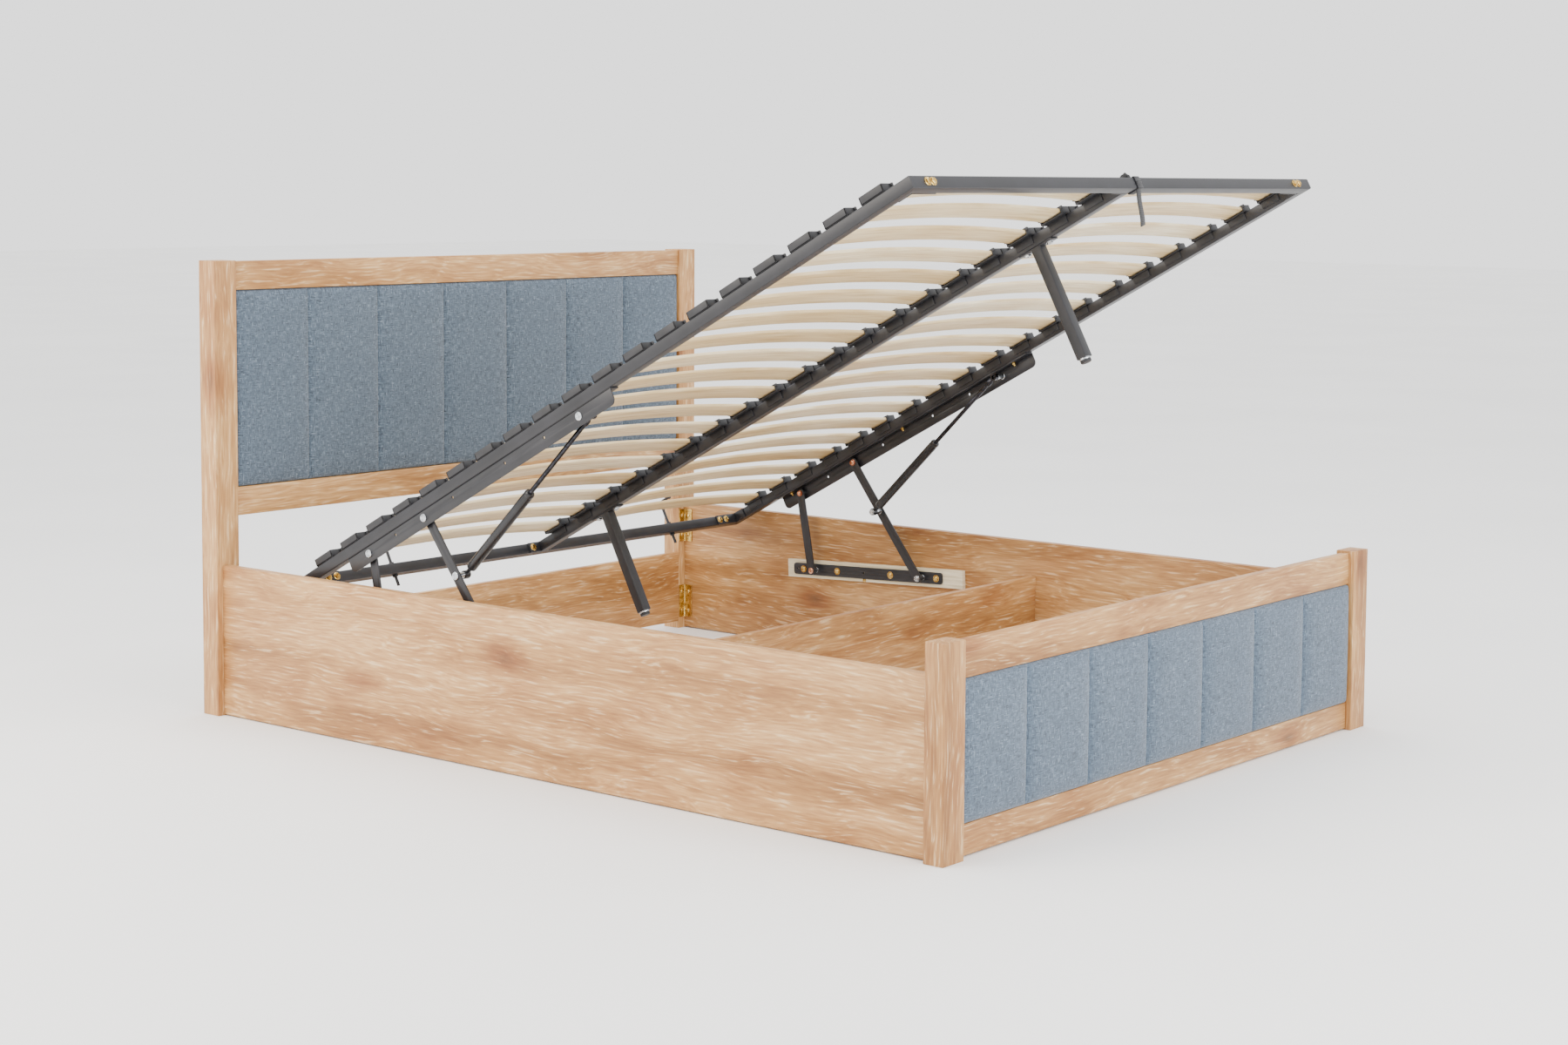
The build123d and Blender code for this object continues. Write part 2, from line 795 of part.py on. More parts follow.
def bracket_head(y):
    """Head of a pivot on the outer face of the base bracket."""
    return x_hexagon(pin_head_radius, rail_outer, rail_outer + pin_head, y, -pivot_drop)


def base_pivot_bolt_set():
    """Shouldered studs with nuts on which the upper ends of the links turn."""
    bolts = []
    z = -pivot_drop
    for y in (front_pivot_place, rear_pivot_place):
        shoulder = x_cylinder(bush_radius, link_outer + fit, bracket_inner, y, z)
        shank = x_cylinder(pin_radius, link_inner - fit, link_outer + fit, y, z)
        nut = x_hexagon(pin_nut_radius, link_inner - pin_nut - fit, link_inner - fit, y, z)
        bolts += [bracket_head(y), shoulder + shank + nut]
    return group(p for b in bolts for p in left_and_right(b).values())


def strut_upper_stud_set():
    """Studs on the base brackets, beside the struts' upper eyes."""
    y = strut_pivot_place
    collar = x_cylinder(bush_radius, strut_eye_face + fit, bracket_inner, y, -pivot_drop)
    return group(p for b in (bracket_head(y), collar) for p in left_and_right(b).values())


def mattress_retainer():
    """Bent rod through the head-end tube, which stops the mattress sliding."""
    y = base_length - tube / 2
    low = -tube - retainer_drop
    bend = 2 * retainer_radius
    top = retainer_rise
    with BuildLine(Plane.YZ) as path:
        Polyline((y, low), (y, top - bend), (y - bend, top), (y - retainer_hook, top))
    profile = Plane.XY.offset(low) * Pos(0, y) * RegularPolygon(retainer_radius, 8)
    rod = sweep(profile, path=path.wire(), transition=Transition.RIGHT)
    nut = z_hexagon(hex_radius, 0, y, (0, hex_height))
    return Pos(retainer_x, 0, 0) * (rod + nut)


def handle_strap():
    """Webbing loop round the foot-end tube, with its tail hanging down in the lifted pose."""
    outer = tube + 2 * (fit + strap_thickness)
    inner = tube + 2 * fit
    ring = Rectangle(outer, outer) - Rectangle(inner, inner)
    ring = Plane.YZ.offset(-strap_width / 2) * Pos(tube / 2, -tube / 2) * ring
    loop = extrude(ring, strap_width, dir=(1, 0, 0))
    lean = math.degrees(math.atan2(strap_tail_shift, strap_tail))
    tail = Pos(0, 0, -strap_tail / 2) * Box(strap_width, 2 * strap_thickness, strap_tail)
    tail = Pos(0, -fit, -tube / 2) * Rot(open_angle, 0, 0) * Rot(0, -lean, 0) * tail
    clear = block(-2 * outer, 2 * outer, -fit, 2 * outer, -tube - fit, 0)
    knot_high = fit + strap_knot_height
    knot_y = (tube / 2 - strap_width / 2, tube / 2 + strap_width / 2)
    knot = block(strap_knot_shift - strap_width / 2, -strap_width / 2, *knot_y, fit, knot_high)
    return Pos(strap_x, 0, 0) * (loop + (tail - clear) + knot)


def build_nodes():
    """Every node of the bed by name, in the lifted pose."""
    nodes = {}

    def pair(name, solid):
        for side, piece in left_and_right(solid).items():
            nodes[f"{name}_{side}"] = piece

    def base_pair(name, solid):
        for side, piece in left_and_right(solid).items():
            nodes[f"{name}_{side}"] = on_base(piece)

    pair("head_post", head_post())
    pair("foot_post", foot_post())
    pair("side_board", side_board())
    nodes["divider_board"] = divider_board()
    nodes["head_end_board"] = head_end_board()

    head_front = head_rail_front
    head_thick = head_rail_thickness
    nodes["headboard_top_rail"] = rail_between(
        head_inner, head_front, head_thick, head_top_rail_low, head_rail_height
    )
    nodes["headboard_lower_rail"] = rail_between(
        head_inner, head_front, head_thick, head_lower_rail_low, head_rail_height
    )
    head_crown = head_post_front - head_pad_proud
    nodes["headboard_pad"] = channelled_pad(head_inner, head_crown, head_panel_low, head_panel_height)
    nodes["headboard_back_panel"] = back_panel(
        head_inner, head_crown + pad_depth + fit, head_panel_low, head_panel_height
    )

    foot_front = foot_rail_front
    foot_thick = foot_rail_thickness
    nodes["footboard_top_rail"] = rail_between(
        foot_inner, foot_front, foot_thick, foot_top_rail_low, foot_top_rail_height
    )
    nodes["footboard_bottom_rail"] = rail_between(
        foot_inner, foot_front, foot_thick, foot_bottom_rail_lift, foot_bottom_rail_height
    )
    foot_crown = foot_face - foot_pad_proud
    nodes["footboard_pad"] = channelled_pad(foot_inner, foot_crown, foot_panel_low, foot_panel_height)
    nodes["footboard_back_panel"] = back_panel(
        foot_inner, foot_crown + pad_depth + fit, foot_panel_low, foot_panel_height
    )

    nodes["corner_brackets"], nodes["corner_bracket_bolts"] = corner_bracket_set()
    pair("spacer_board", spacer_board())
    pair("base_bar", base_bar())
    nodes["base_bar_bolts"] = base_bar_bolt_set()
    studs = [rear_pivot_stud(), front_pivot_stud()]
    nodes["base_pivot_studs"] = group(p for s in studs for p in left_and_right(s).values())

    pair("front_link", front_link())
    pair("strut_lower_stud", strut_lower_stud())
    pair("rear_link", rear_link())
    pair("rear_link_pin", rear_link_pin())
    pair("strut_cylinder", strut_cylinder())
    pair("strut_rod", strut_rod())

    base_pair("base_side_rail", base_side_rail())
    nodes["base_foot_rail"] = on_base(end_rail(0, tube))
    nodes["base_head_rail"] = on_base(head_rail())
    nodes["base_centre_rail"] = on_base(base_centre_rail())
    nodes["base_frame_bolts"] = on_base(base_frame_bolt_set())
    base_pair("slats", slat_set())
    base_pair("slat_caps", repeated(side_cap(), slat_places()))
    nodes["slat_caps_centre"] = on_base(repeated(centre_cap(), slat_places()))
    nodes["support_legs"] = on_base(group(support_leg(y) for y in support_leg_places))
    nodes["support_leg_glides"] = on_base(group(leg_glide(y) for y in support_leg_places))
    nodes["support_leg_bolts"] = on_base(leg_bolt_set())
    base_pair("lift_bracket", lift_bracket())
    nodes["lift_bracket_bolts"] = on_base(bracket_bolt_set())
    nodes["base_pivot_bolts"] = on_base(base_pivot_bolt_set())
    nodes["strut_upper_studs"] = on_base(strut_upper_stud_set())
    nodes["mattress_retainers"] = on_base(group(left_and_right(mattress_retainer()).values()))
    nodes["handle_strap"] = on_base(handle_strap())
    return nodes


def describe_motion():
    """Joint places, ranges and ratios that the assembly's record needs."""
    front_turn = heading(front_base_pivot, places["front_closed"])
    front_turn -= heading(front_base_pivot, places["front_open"])
    rear_turn = heading(rear_base_pivot, places["rear_closed"])
    rear_turn -= heading(rear_base_pivot, places["rear_open"])
    strut_turn = heading(places["stud_closed"], places["strut_closed"])
    strut_turn -= heading(places["stud_open"], places["strut_open"])
    return {
        "front_turn": front_turn,
        "rear_turn": rear_turn - open_angle,
        "base_turn": open_angle - front_turn,
        "strut_turn": strut_turn - front_turn,
        "strut_slide": strut_length_closed - strut_length_open,
        "strut_heading": heading(places["stud_open"], places["strut_open"]),
    }


def main():
    os.makedirs("parts", exist_ok=True)
    for name, shape in build_nodes().items():
        export_step(shape, f"parts/{name}.step")
    for name, place in places.items():
        print(name, [round(v, 3) for v in place])
    for name, value in describe_motion().items():
        print(name, round(value, 4))


main()
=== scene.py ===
import logging
import math
from dataclasses import dataclass
from enum import Enum
from typing import Iterable, Sequence

import bmesh
import bpy
import numpy as np
from mathutils import Matrix, Vector


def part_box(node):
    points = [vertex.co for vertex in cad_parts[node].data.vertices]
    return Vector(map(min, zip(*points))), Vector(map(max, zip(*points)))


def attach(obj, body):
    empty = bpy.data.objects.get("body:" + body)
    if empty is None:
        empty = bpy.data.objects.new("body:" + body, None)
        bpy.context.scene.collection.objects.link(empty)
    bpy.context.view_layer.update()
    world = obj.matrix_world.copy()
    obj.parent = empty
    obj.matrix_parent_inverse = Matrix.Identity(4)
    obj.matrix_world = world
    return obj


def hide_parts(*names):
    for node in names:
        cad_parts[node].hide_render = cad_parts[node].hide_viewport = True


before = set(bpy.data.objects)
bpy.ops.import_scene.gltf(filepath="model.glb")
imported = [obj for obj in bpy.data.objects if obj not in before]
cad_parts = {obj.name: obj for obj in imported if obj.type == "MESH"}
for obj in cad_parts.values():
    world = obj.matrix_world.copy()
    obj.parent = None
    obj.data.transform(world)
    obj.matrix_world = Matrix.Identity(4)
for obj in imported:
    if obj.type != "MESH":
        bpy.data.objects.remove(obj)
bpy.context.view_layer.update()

log = logging.getLogger("ottoman_bed")
MM = 0.001

# The lifted base: its local frame has y from the foot end along the side tubes and z = 0 on their top.
BASE_ORIGIN = Vector((0.0, -0.917752, 1.246515))
BASE_TILT = math.radians(-28.1)
LIFTED = Matrix.Translation(BASE_ORIGIN) @ Matrix.Rotation(BASE_TILT, 4, "X")
UPRIGHT = Matrix.Identity(4)

Tree = bpy.types.NodeTree
Socket = bpy.types.NodeSocket
Part = bmesh.types.BMesh
Point = tuple[float, float, float]
Pair = tuple[float, float]


class Axis(Enum):
    """Which way a grain or a turned part runs."""

    X = 0
    Y = 1
    Z = 2


class Side(Enum):
    """The two long sides of the bed, with the sign of their X."""

    LEFT = -1
    RIGHT = 1

    @property
    def word(self) -> str:
        """The side's name as node names end in it."""
        return self.name.lower()


# Colour and shader helpers


def hex_colour(code: str) -> tuple[float, float, float, float]:
    """Turn an sRGB hex colour to linear light.

    Args:
        code: Six hex digits, without a hash.

    Returns:
        Linear red, green, blue and an alpha of one.
    """
    parts = [int(code[i : i + 2], 16) / 255 for i in (0, 2, 4)]
    linear = [p / 12.92 if p <= 0.04045 else ((p + 0.055) / 1.055) ** 2.4 for p in parts]
    return (linear[0], linear[1], linear[2], 1.0)


def add(
    tree: Tree, kind: str, inputs: dict | None = None, **settings: object
) -> bpy.types.Node:
    """Add a node with its settings and links.

    Args:
        tree: The node tree to add to.
        kind: Blender's name of the node.
        inputs: Input name or index to a value, or to an output socket to link from.
        settings: Attributes of the node.

    Returns:
        The new node.
    """
    node = tree.nodes.new(kind)
    for name, value in settings.items():
        setattr(node, name, value)
    for name, value in (inputs or {}).items():
        socket = node.inputs[name]
        if isinstance(value, Socket):
            tree.links.new(value, socket)
        else:
            socket.default_value = value
    return node


def ramp(tree: Tree, fac: Socket, stops: Sequence[tuple[float, str]]) -> Socket:
    """Colour a value by hex stops.

    Args:
        tree: The node tree to add to.
        fac: The value from zero to one.
        stops: Places and hex colours in rising order.

    Returns:
        The colour output.
    """
    node = add(tree, "ShaderNodeValToRGB", {"Fac": fac})
    elements = node.color_ramp.elements
    while len(elements) < len(stops):
        elements.new(0.5)
    for element, (place, code) in zip(elements, stops):
        element.position = place
        element.color = hex_colour(code)
    return node.outputs["Color"]


def mixed(tree: Tree, fac: object, a: object, b: object, way: str = "MIX") -> Socket:
    """Blend two colours.

    Args:
        tree: The node tree to add to.
        fac: Share of the second colour, a number or a socket.
        a: First colour or socket.
        b: Second colour or socket.
        way: Blend type.

    Returns:
        The blended colour output.
    """
    node = add(tree, "ShaderNodeMix", {0: fac, 6: a, 7: b}, data_type="RGBA", blend_type=way)
    return node.outputs[2]


def start_material(name: str) -> tuple[bpy.types.Material, Tree, bpy.types.Node]:
    """An empty node material with its shader.

    Args:
        name: The material's name.

    Returns:
        The material, its tree and its Principled shader.
    """
    material = bpy.data.materials.new(name)
    material.use_nodes = True
    tree = material.node_tree
    tree.nodes.clear()
    shader = add(tree, "ShaderNodeBsdfPrincipled")
    add(tree, "ShaderNodeOutputMaterial", {"Surface": shader.outputs["BSDF"]})
    return material, tree, shader


GRAIN_TURN = {
    Axis.X: (0.0, 0.0, 0.0),
    Axis.Y: (0.0, 0.0, -math.pi / 2),
    Axis.Z: (0.0, math.pi / 2, 0.0),
}


def pattern_place(tree: Tree, axis: Axis, shift: Point, on_base: bool = False) -> Socket:
    """Object coordinates turned so that the pattern's X runs along an axis.

    Args:
        tree: The node tree to add to.
        axis: The axis that the pattern's X follows.
        shift: Where the pattern starts, in metres.
        on_base: Whether the piece lies on the tilted base.

    Returns:
        The turned coordinates.
    """
    place = add(tree, "ShaderNodeTexCoord").outputs["Object"]
    if on_base:
        inputs = {"Vector": place, "Location": BASE_ORIGIN, "Rotation": (BASE_TILT, 0, 0)}
        place = add(tree, "ShaderNodeMapping", inputs, vector_type="TEXTURE").outputs["Vector"]
    inputs = {"Vector": place, "Location": shift, "Rotation": GRAIN_TURN[axis]}
    return add(tree, "ShaderNodeMapping", inputs).outputs["Vector"]


def stretched(tree: Tree, place: Socket, scale: Point) -> Socket:
    """Coordinates scaled differently along each axis, in repeats to the metre."""
    return add(tree, "ShaderNodeMapping", {"Vector": place, "Scale": scale}).outputs["Vector"]


def noise(
    tree: Tree, place: Socket, scale: float, detail: float = 2.0, twist: float = 0.0
) -> Socket:
    """A noise value from zero to one.

    Args:
        tree: The node tree to add to.
        place: Coordinates.
        scale: Repeats to one unit of the coordinates.
        detail: Octaves.
        twist: Distortion.

    Returns:
        The value output.
    """
    inputs = {"Vector": place, "Scale": scale, "Detail": detail, "Distortion": twist}
    return add(tree, "ShaderNodeTexNoise", inputs).outputs["Fac"]


def bump(tree: Tree, shader: bpy.types.Node, height: Socket, depth: float, strength: float) -> None:
    """Give a shader relief from a height, with the depth in metres."""
    inputs = {"Height": height, "Distance": depth, "Strength": strength}
    node = add(tree, "ShaderNodeBump", inputs)
    tree.links.new(node.outputs["Normal"], shader.inputs["Normal"])


# Finishes


@dataclass(frozen=True)
class OakFoil:
    """Oak-printed foil pressed on chipboard with a synchronous pore emboss.

    The print gives warm honey oak with darker clouds and small knots. The emboss gives short wavy
    streaks along the grain, on a satin face, and the lightest streaks carry a painted highlight.
    """

    name: str
    axis: Axis
    shift: Point
    light: str = "D4AC78"
    middle: str = "BE935E"
    dark: str = "9F7443"

    def build(self) -> bpy.types.Material:
        """Make the material."""
        material, tree, shader = start_material(self.name)
        place = pattern_place(tree, self.axis, self.shift)
        # the grain wanders by some 12 mm over half a metre
        drift = noise(tree, stretched(tree, place, (1.6, 5.0, 5.0)), 1.0, 2.0)
        wave = noise(tree, stretched(tree, place, (9.0, 22.0, 22.0)), 1.0, 1.0)
        sway = add(tree, "ShaderNodeMath", {0: drift, 1: 0.09}, operation="MULTIPLY").outputs[0]
        ripple = add(tree, "ShaderNodeMath", {0: wave, 1: 0.012, 2: sway}, operation="MULTIPLY_ADD").outputs[0]
        offset = add(tree, "ShaderNodeCombineXYZ", {"Y": ripple, "Z": ripple}).outputs[0]
        bent = add(tree, "ShaderNodeVectorMath", {0: place, 1: offset}, operation="ADD").outputs[0]
        # print bands about 60 mm wide and clouds about 300 mm long
        band = noise(tree, stretched(tree, bent, (0.9, 14.0, 14.0)), 1.0, 3.0, 0.6)
        cloud = noise(tree, stretched(tree, bent, (3.0, 9.0, 9.0)), 1.0, 2.0, 0.8)
        colour = ramp(tree, band, ((0.28, self.dark), (0.46, self.middle), (0.62, self.light), (0.8, self.middle)))
        cloudy = ramp(tree, cloud, ((0.42, "FFFFFF"), (0.70, "C8A67C")))
        colour = mixed(tree, 0.55, colour, cloudy, "MULTIPLY")
        # fibres 4 mm wide and 60 mm long, coarser than the real 0.5 mm ones, so that they show
        fibre = noise(tree, stretched(tree, bent, (15.0, 230.0, 230.0)), 1.0, 2.0, 0.25)
        streak = ramp(tree, fibre, ((0.33, "BF9A6C"), (0.5, "E8D3B2"), (0.66, "FFFFFF")))
        colour = mixed(tree, 0.62, colour, streak, "MULTIPLY")
        # painted highlight: where the fibres stand highest the colour is lightened towards pale cream, as if they
        # caught the light
        painted_glint = ramp(tree, fibre, ((0.60, "000000"), (0.72, "FFFFFF")))
        colour = mixed(tree, painted_glint, colour, mixed(tree, 0.35, colour, hex_colour("F6DDB6")))
        # knots some 25 mm long, one to a third of a metre of grain
        cells = add(tree, "ShaderNodeTexVoronoi", {"Vector": stretched(tree, bent, (2.6, 7.0, 7.0)), "Scale": 1.0})
        knot = ramp(tree, cells.outputs["Distance"], ((0.03, "6B4423"), (0.10, "C39A72"), (0.24, "FFFFFF")))
        colour = mixed(tree, 0.7, colour, knot, "MULTIPLY")
        tree.links.new(colour, shader.inputs["Base Color"])
        pores = noise(tree, stretched(tree, bent, (28.0, 420.0, 420.0)), 1.0, 3.0)
        relief = add(tree, "ShaderNodeMath", {0: pores, 1: 0.5, 2: fibre}, operation="MULTIPLY_ADD").outputs[0]
        bump(tree, shader, relief, 0.0009, 0.35)
        shader.inputs["Roughness"].default_value = 0.5
        shader.inputs["IOR"].default_value = 1.5
        return material


@dataclass(frozen=True)
class LinenWeave:
    """Polyester upholstery cloth in a plain linen-look weave with slubs.

    The slubs give short lighter and darker dashes both ways over slate blue, with no gloss.
    """

    name: str = "slate_linen_weave_polyester"

    def build(self) -> bpy.types.Material:
        """Make the material."""
        material, tree, shader = start_material(self.name)
        place = pattern_place(tree, Axis.X, (0.0, 0.0, 0.0))
        # threads 2.4 mm apart, coarser than the real 0.7 mm, so that the weave shows
        weft = noise(tree, stretched(tree, place, (70.0, 20.0, 420.0)), 1.0, 2.0)
        warp = noise(tree, stretched(tree, place, (420.0, 20.0, 70.0)), 1.0, 2.0)
        over = noise(tree, stretched(tree, place, (160.0, 20.0, 160.0)), 1.0, 1.0)
        pick = add(tree, "ShaderNodeMapRange", {"Value": over, "From Min": 0.42, "From Max": 0.58}).outputs[0]
        thread = add(tree, "ShaderNodeMix", {0: pick, 2: weft, 3: warp}).outputs[0]
        colour = ramp(tree, thread, ((0.30, "343E49"), (0.46, "4A5867"), (0.58, "5A6A7B"), (0.74, "7E8C9A")))
        tone = noise(tree, stretched(tree, place, (5.0, 2.0, 5.0)), 1.0, 2.0)
        colour = mixed(tree, 0.25, colour, ramp(tree, tone, ((0.3, "C9D2DC"), (0.7, "FFFFFF"))), "MULTIPLY")
        tree.links.new(colour, shader.inputs["Base Color"])
        bump(tree, shader, thread, 0.0012, 0.55)
        shader.inputs["Roughness"].default_value = 0.92
        shader.inputs["Sheen Weight"].default_value = 0.25
        shader.inputs["Sheen Roughness"].default_value = 0.5
        return material


@dataclass(frozen=True)
class PowderCoat:
    """Black polyester powder coat on steel: a fine orange peel with a soft satin gloss."""

    name: str = "black_powder_coat_on_steel"
    colour: str = "16161A"
    roughness: float = 0.36

    def build(self) -> bpy.types.Material:
        """Make the material."""
        material, tree, shader = start_material(self.name)
        place = pattern_place(tree, Axis.X, (0.0, 0.0, 0.0))
        # orange peel cells 3 mm across
        peel = noise(tree, place, 330.0, 2.0)
        dust = noise(tree, place, 14.0, 4.0)
        colour = ramp(tree, dust, ((0.35, self.colour), (0.75, "222227")))
        tree.links.new(colour, shader.inputs["Base Color"])
        gloss = {"Value": dust, "To Min": self.roughness - 0.05, "To Max": self.roughness + 0.08}
        tree.links.new(add(tree, "ShaderNodeMapRange", gloss).outputs[0], shader.inputs["Roughness"])
        bump(tree, shader, peel, 0.0002, 0.25)
        return material


@dataclass(frozen=True)
class PlatedZinc:
    """Electroplated steel, bright or yellow passivated: a metal sheen with cloudy tints."""

    name: str
    low: str
    high: str
    roughness: float = 0.27

    def build(self) -> bpy.types.Material:
        """Make the material."""
        material, tree, shader = start_material(self.name)
        place = pattern_place(tree, Axis.X, (0.0, 0.0, 0.0))
        # tints drift over 8 mm
        tint = noise(tree, place, 120.0, 3.0)
        tree.links.new(ramp(tree, tint, ((0.35, self.low), (0.65, self.high))), shader.inputs["Base Color"])
        bump(tree, shader, noise(tree, place, 900.0, 2.0), 0.0001, 0.3)
        shader.inputs["Metallic"].default_value = 1.0
        shader.inputs["Roughness"].default_value = self.roughness
        return material


@dataclass(frozen=True)
class BirchVeneer:
    """Steam-bent birch laminate with a thin clear lacquer: pale cream with faint long streaks."""

    name: str = "lacquered_birch_laminate"

    def build(self) -> bpy.types.Material:
        """Make the material."""
        material, tree, shader = start_material(self.name)
        place = add(tree, "ShaderNodeAttribute", attribute_name="grain").outputs["Vector"]
        tint = add(tree, "ShaderNodeAttribute", attribute_name="slat_tint").outputs["Fac"]
        step = add(tree, "ShaderNodeCombineXYZ", {"X": tint, "Y": tint}).outputs[0]
        moved = add(tree, "ShaderNodeVectorMath", {0: place, 1: step}, operation="ADD").outputs[0]
        # streaks 3 mm wide, 150 mm long, and clouds 40 mm wide
        streak = noise(tree, stretched(tree, moved, (7.0, 260.0, 60.0)), 1.0, 3.0, 0.3)
        cloud = noise(tree, stretched(tree, moved, (4.0, 26.0, 10.0)), 1.0, 2.0)
        colour = ramp(tree, streak, ((0.30, "CDB68A"), (0.52, "E6D6B2"), (0.72, "F3E8CC")))
        colour = mixed(tree, 0.4, colour, ramp(tree, cloud, ((0.35, "E2CDA4"), (0.65, "FFFFFF"))), "MULTIPLY")
        shade = ramp(tree, tint, ((0.0, "DCC79F"), (0.5, "F5ECD8"), (1.0, "FFFFFF")))
        colour = mixed(tree, 0.7, colour, shade, "MULTIPLY")
        tree.links.new(colour, shader.inputs["Base Color"])
        bump(tree, shader, streak, 0.0003, 0.25)
        shader.inputs["Roughness"].default_value = 0.42
        return material


@dataclass(frozen=True)
class MouldedPlastic:
    """Black injection-moulded polypropylene with a fine spark-eroded grain."""

    name: str = "black_moulded_polypropylene"
    colour: str = "17171A"

    def build(self) -> bpy.types.Material:
        """Make the material."""
        material, tree, shader = start_material(self.name)
        place = pattern_place(tree, Axis.X, (0.0, 0.0, 0.0))
        # grain pits 1.5 mm apart, coarser than the real 0.1 mm, so that they show
        pits = noise(tree, place, 650.0, 2.0)
        colour = ramp(tree, noise(tree, place, 30.0, 2.0), ((0.3, self.colour), (0.7, "242428")))
        tree.links.new(colour, shader.inputs["Base Color"])
        bump(tree, shader, pits, 0.0002, 0.35)
        shader.inputs["Roughness"].default_value = 0.5
        return material


@dataclass(frozen=True)
class RawPlywood:
    """Poplar plywood with sanded faces: cream, with its plies showing on the cut edges."""

    name: str = "raw_poplar_plywood"

    def build(self) -> bpy.types.Material:
        """Make the material."""
        material, tree, shader = start_material(self.name)
        place = pattern_place(tree, Axis.Y, (0.0, 0.0, 0.0))
        # streaks 4 mm wide along the board and plies 2 mm thick across it
        streak = noise(tree, stretched(tree, place, (9.0, 30.0, 240.0)), 1.0, 3.0, 0.4)
        colour = ramp(tree, streak, ((0.3, "CDBF9C"), (0.55, "E4D9BC"), (0.75, "EFE7D0")))
        depth = add(tree, "ShaderNodeSeparateXYZ", {0: place}).outputs["Y"]
        plies = add(tree, "ShaderNodeMath", {0: depth, 1: 0.004}, operation="PINGPONG").outputs[0]
        ply = add(tree, "ShaderNodeMapRange", {"Value": plies, "From Max": 0.002}).outputs[0]
        colour = mixed(tree, 0.5, colour, ramp(tree, ply, ((0.4, "D8B98A"), (0.6, "FFFFFF"))), "MULTIPLY")
        tree.links.new(colour, shader.inputs["Base Color"])
        bump(tree, shader, streak, 0.0004, 0.3)
        shader.inputs["Roughness"].default_value = 0.75
        return material


@dataclass(frozen=True)
class SpunFelt:
    """Black spun-bonded dust cover: matt, with a fine pressed dot pattern."""

    name: str = "black_spunbond_cover"

    def build(self) -> bpy.types.Material:
        """Make the material."""
        material, tree, shader = start_material(self.name)
        place = pattern_place(tree, Axis.X, (0.0, 0.0, 0.0))
        # pressed dots 4 mm apart, coarser than the real 1.2 mm, so that they show
        dots = add(tree, "ShaderNodeTexVoronoi", {"Vector": place, "Scale": 250.0, "Randomness": 0.15})
        fluff = noise(tree, place, 60.0, 4.0)
        tree.links.new(ramp(tree, fluff, ((0.3, "1B1C20"), (0.7, "303238"))), shader.inputs["Base Color"])
        bump(tree, shader, dots.outputs["Distance"], 0.0008, 0.6)
        shader.inputs["Roughness"].default_value = 0.95
        return material


@dataclass(frozen=True)
class Webbing:
    """Black polypropylene webbing: a ribbed flat weave with a dull shine."""

    name: str = "black_polypropylene_webbing"

    def build(self) -> bpy.types.Material:
        """Make the material."""
        material, tree, shader = start_material(self.name)
        place = add(tree, "ShaderNodeUVMap").outputs["UV"]
        # ribs 2 mm apart along the band, in metres of UV
        rows = {"Vector": place, "Scale": 80.0, "Distortion": 1.0, "Detail": 2.0}
        rib = add(tree, "ShaderNodeTexWave", rows, bands_direction="Y").outputs["Fac"]
        tree.links.new(ramp(tree, rib, ((0.2, "0C0C0E"), (0.9, "26262B"))), shader.inputs["Base Color"])
        bump(tree, shader, rib, 0.0008, 0.7)
        shader.inputs["Roughness"].default_value = 0.7
        shader.inputs["Sheen Weight"].default_value = 0.2
        return material


@dataclass(frozen=True)
class Palette:
    """Every finish of the bed except the oak, which has one to a board."""

    weave: bpy.types.Material
    coat: bpy.types.Material
    strut_coat: bpy.types.Material
    yellow: bpy.types.Material
    bright: bpy.types.Material
    copper: bpy.types.Material
    rod: bpy.types.Material
    birch: bpy.types.Material
    plastic: bpy.types.Material
    plywood: bpy.types.Material
    felt: bpy.types.Material
    webbing: bpy.types.Material

    @classmethod
    def mix(cls) -> "Palette":
        """Build the finishes."""
        return cls(
            weave=LinenWeave().build(),
            coat=PowderCoat().build(),
            strut_coat=PowderCoat("black_enamel_on_strut_tube", "101013", 0.26).build(),
            yellow=PlatedZinc("yellow_passivated_zinc", "A8813C", "E2C67E").build(),
            bright=PlatedZinc("bright_zinc_plate", "9FA3A8", "DDE0E3").build(),
            copper=PlatedZinc("copper_tinted_plate", "A0664A", "D9A588").build(),
            rod=PlatedZinc("nitrided_piston_rod", "2A2A2D", "44444A", 0.2).build(),
            birch=BirchVeneer().build(),
            plastic=MouldedPlastic().build(),
            plywood=RawPlywood().build(),
            felt=SpunFelt().build(),
            webbing=Webbing().build(),
        )


# Mesh helpers


def finished(
    name: str,
    mesh: bpy.types.Mesh,
    material: bpy.types.Material,
    body: str,
    stands_for: Iterable[str] = (),
    smooth: float | None = 35.0,
) -> bpy.types.Object:
    """Turn a mesh in metres into a piece of the bed.

    Args:
        name: The piece's name.
        mesh: Its mesh, already in place.
        material: Its finish.
        body: The CAD body it rides on.
        stands_for: CAD nodes it replaces.
        smooth: Angle in degrees above which edges stay sharp, or None for flat faces.

    Returns:
        The object.
    """
    mesh.name = name
    mesh.materials.clear()
    mesh.materials.append(material)
    mesh.polygons.foreach_set("material_index", [0] * len(mesh.polygons))
    if smooth is not None:
        mesh.shade_smooth()
        mesh.set_sharp_from_angle(angle=math.radians(smooth))
    piece = bpy.data.objects.new(name, mesh)
    bpy.context.scene.collection.objects.link(piece)
    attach(piece, body)
    if stands_for:
        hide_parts(*stands_for)
    log.info("%s: %d faces", name, len(mesh.polygons))
    return piece


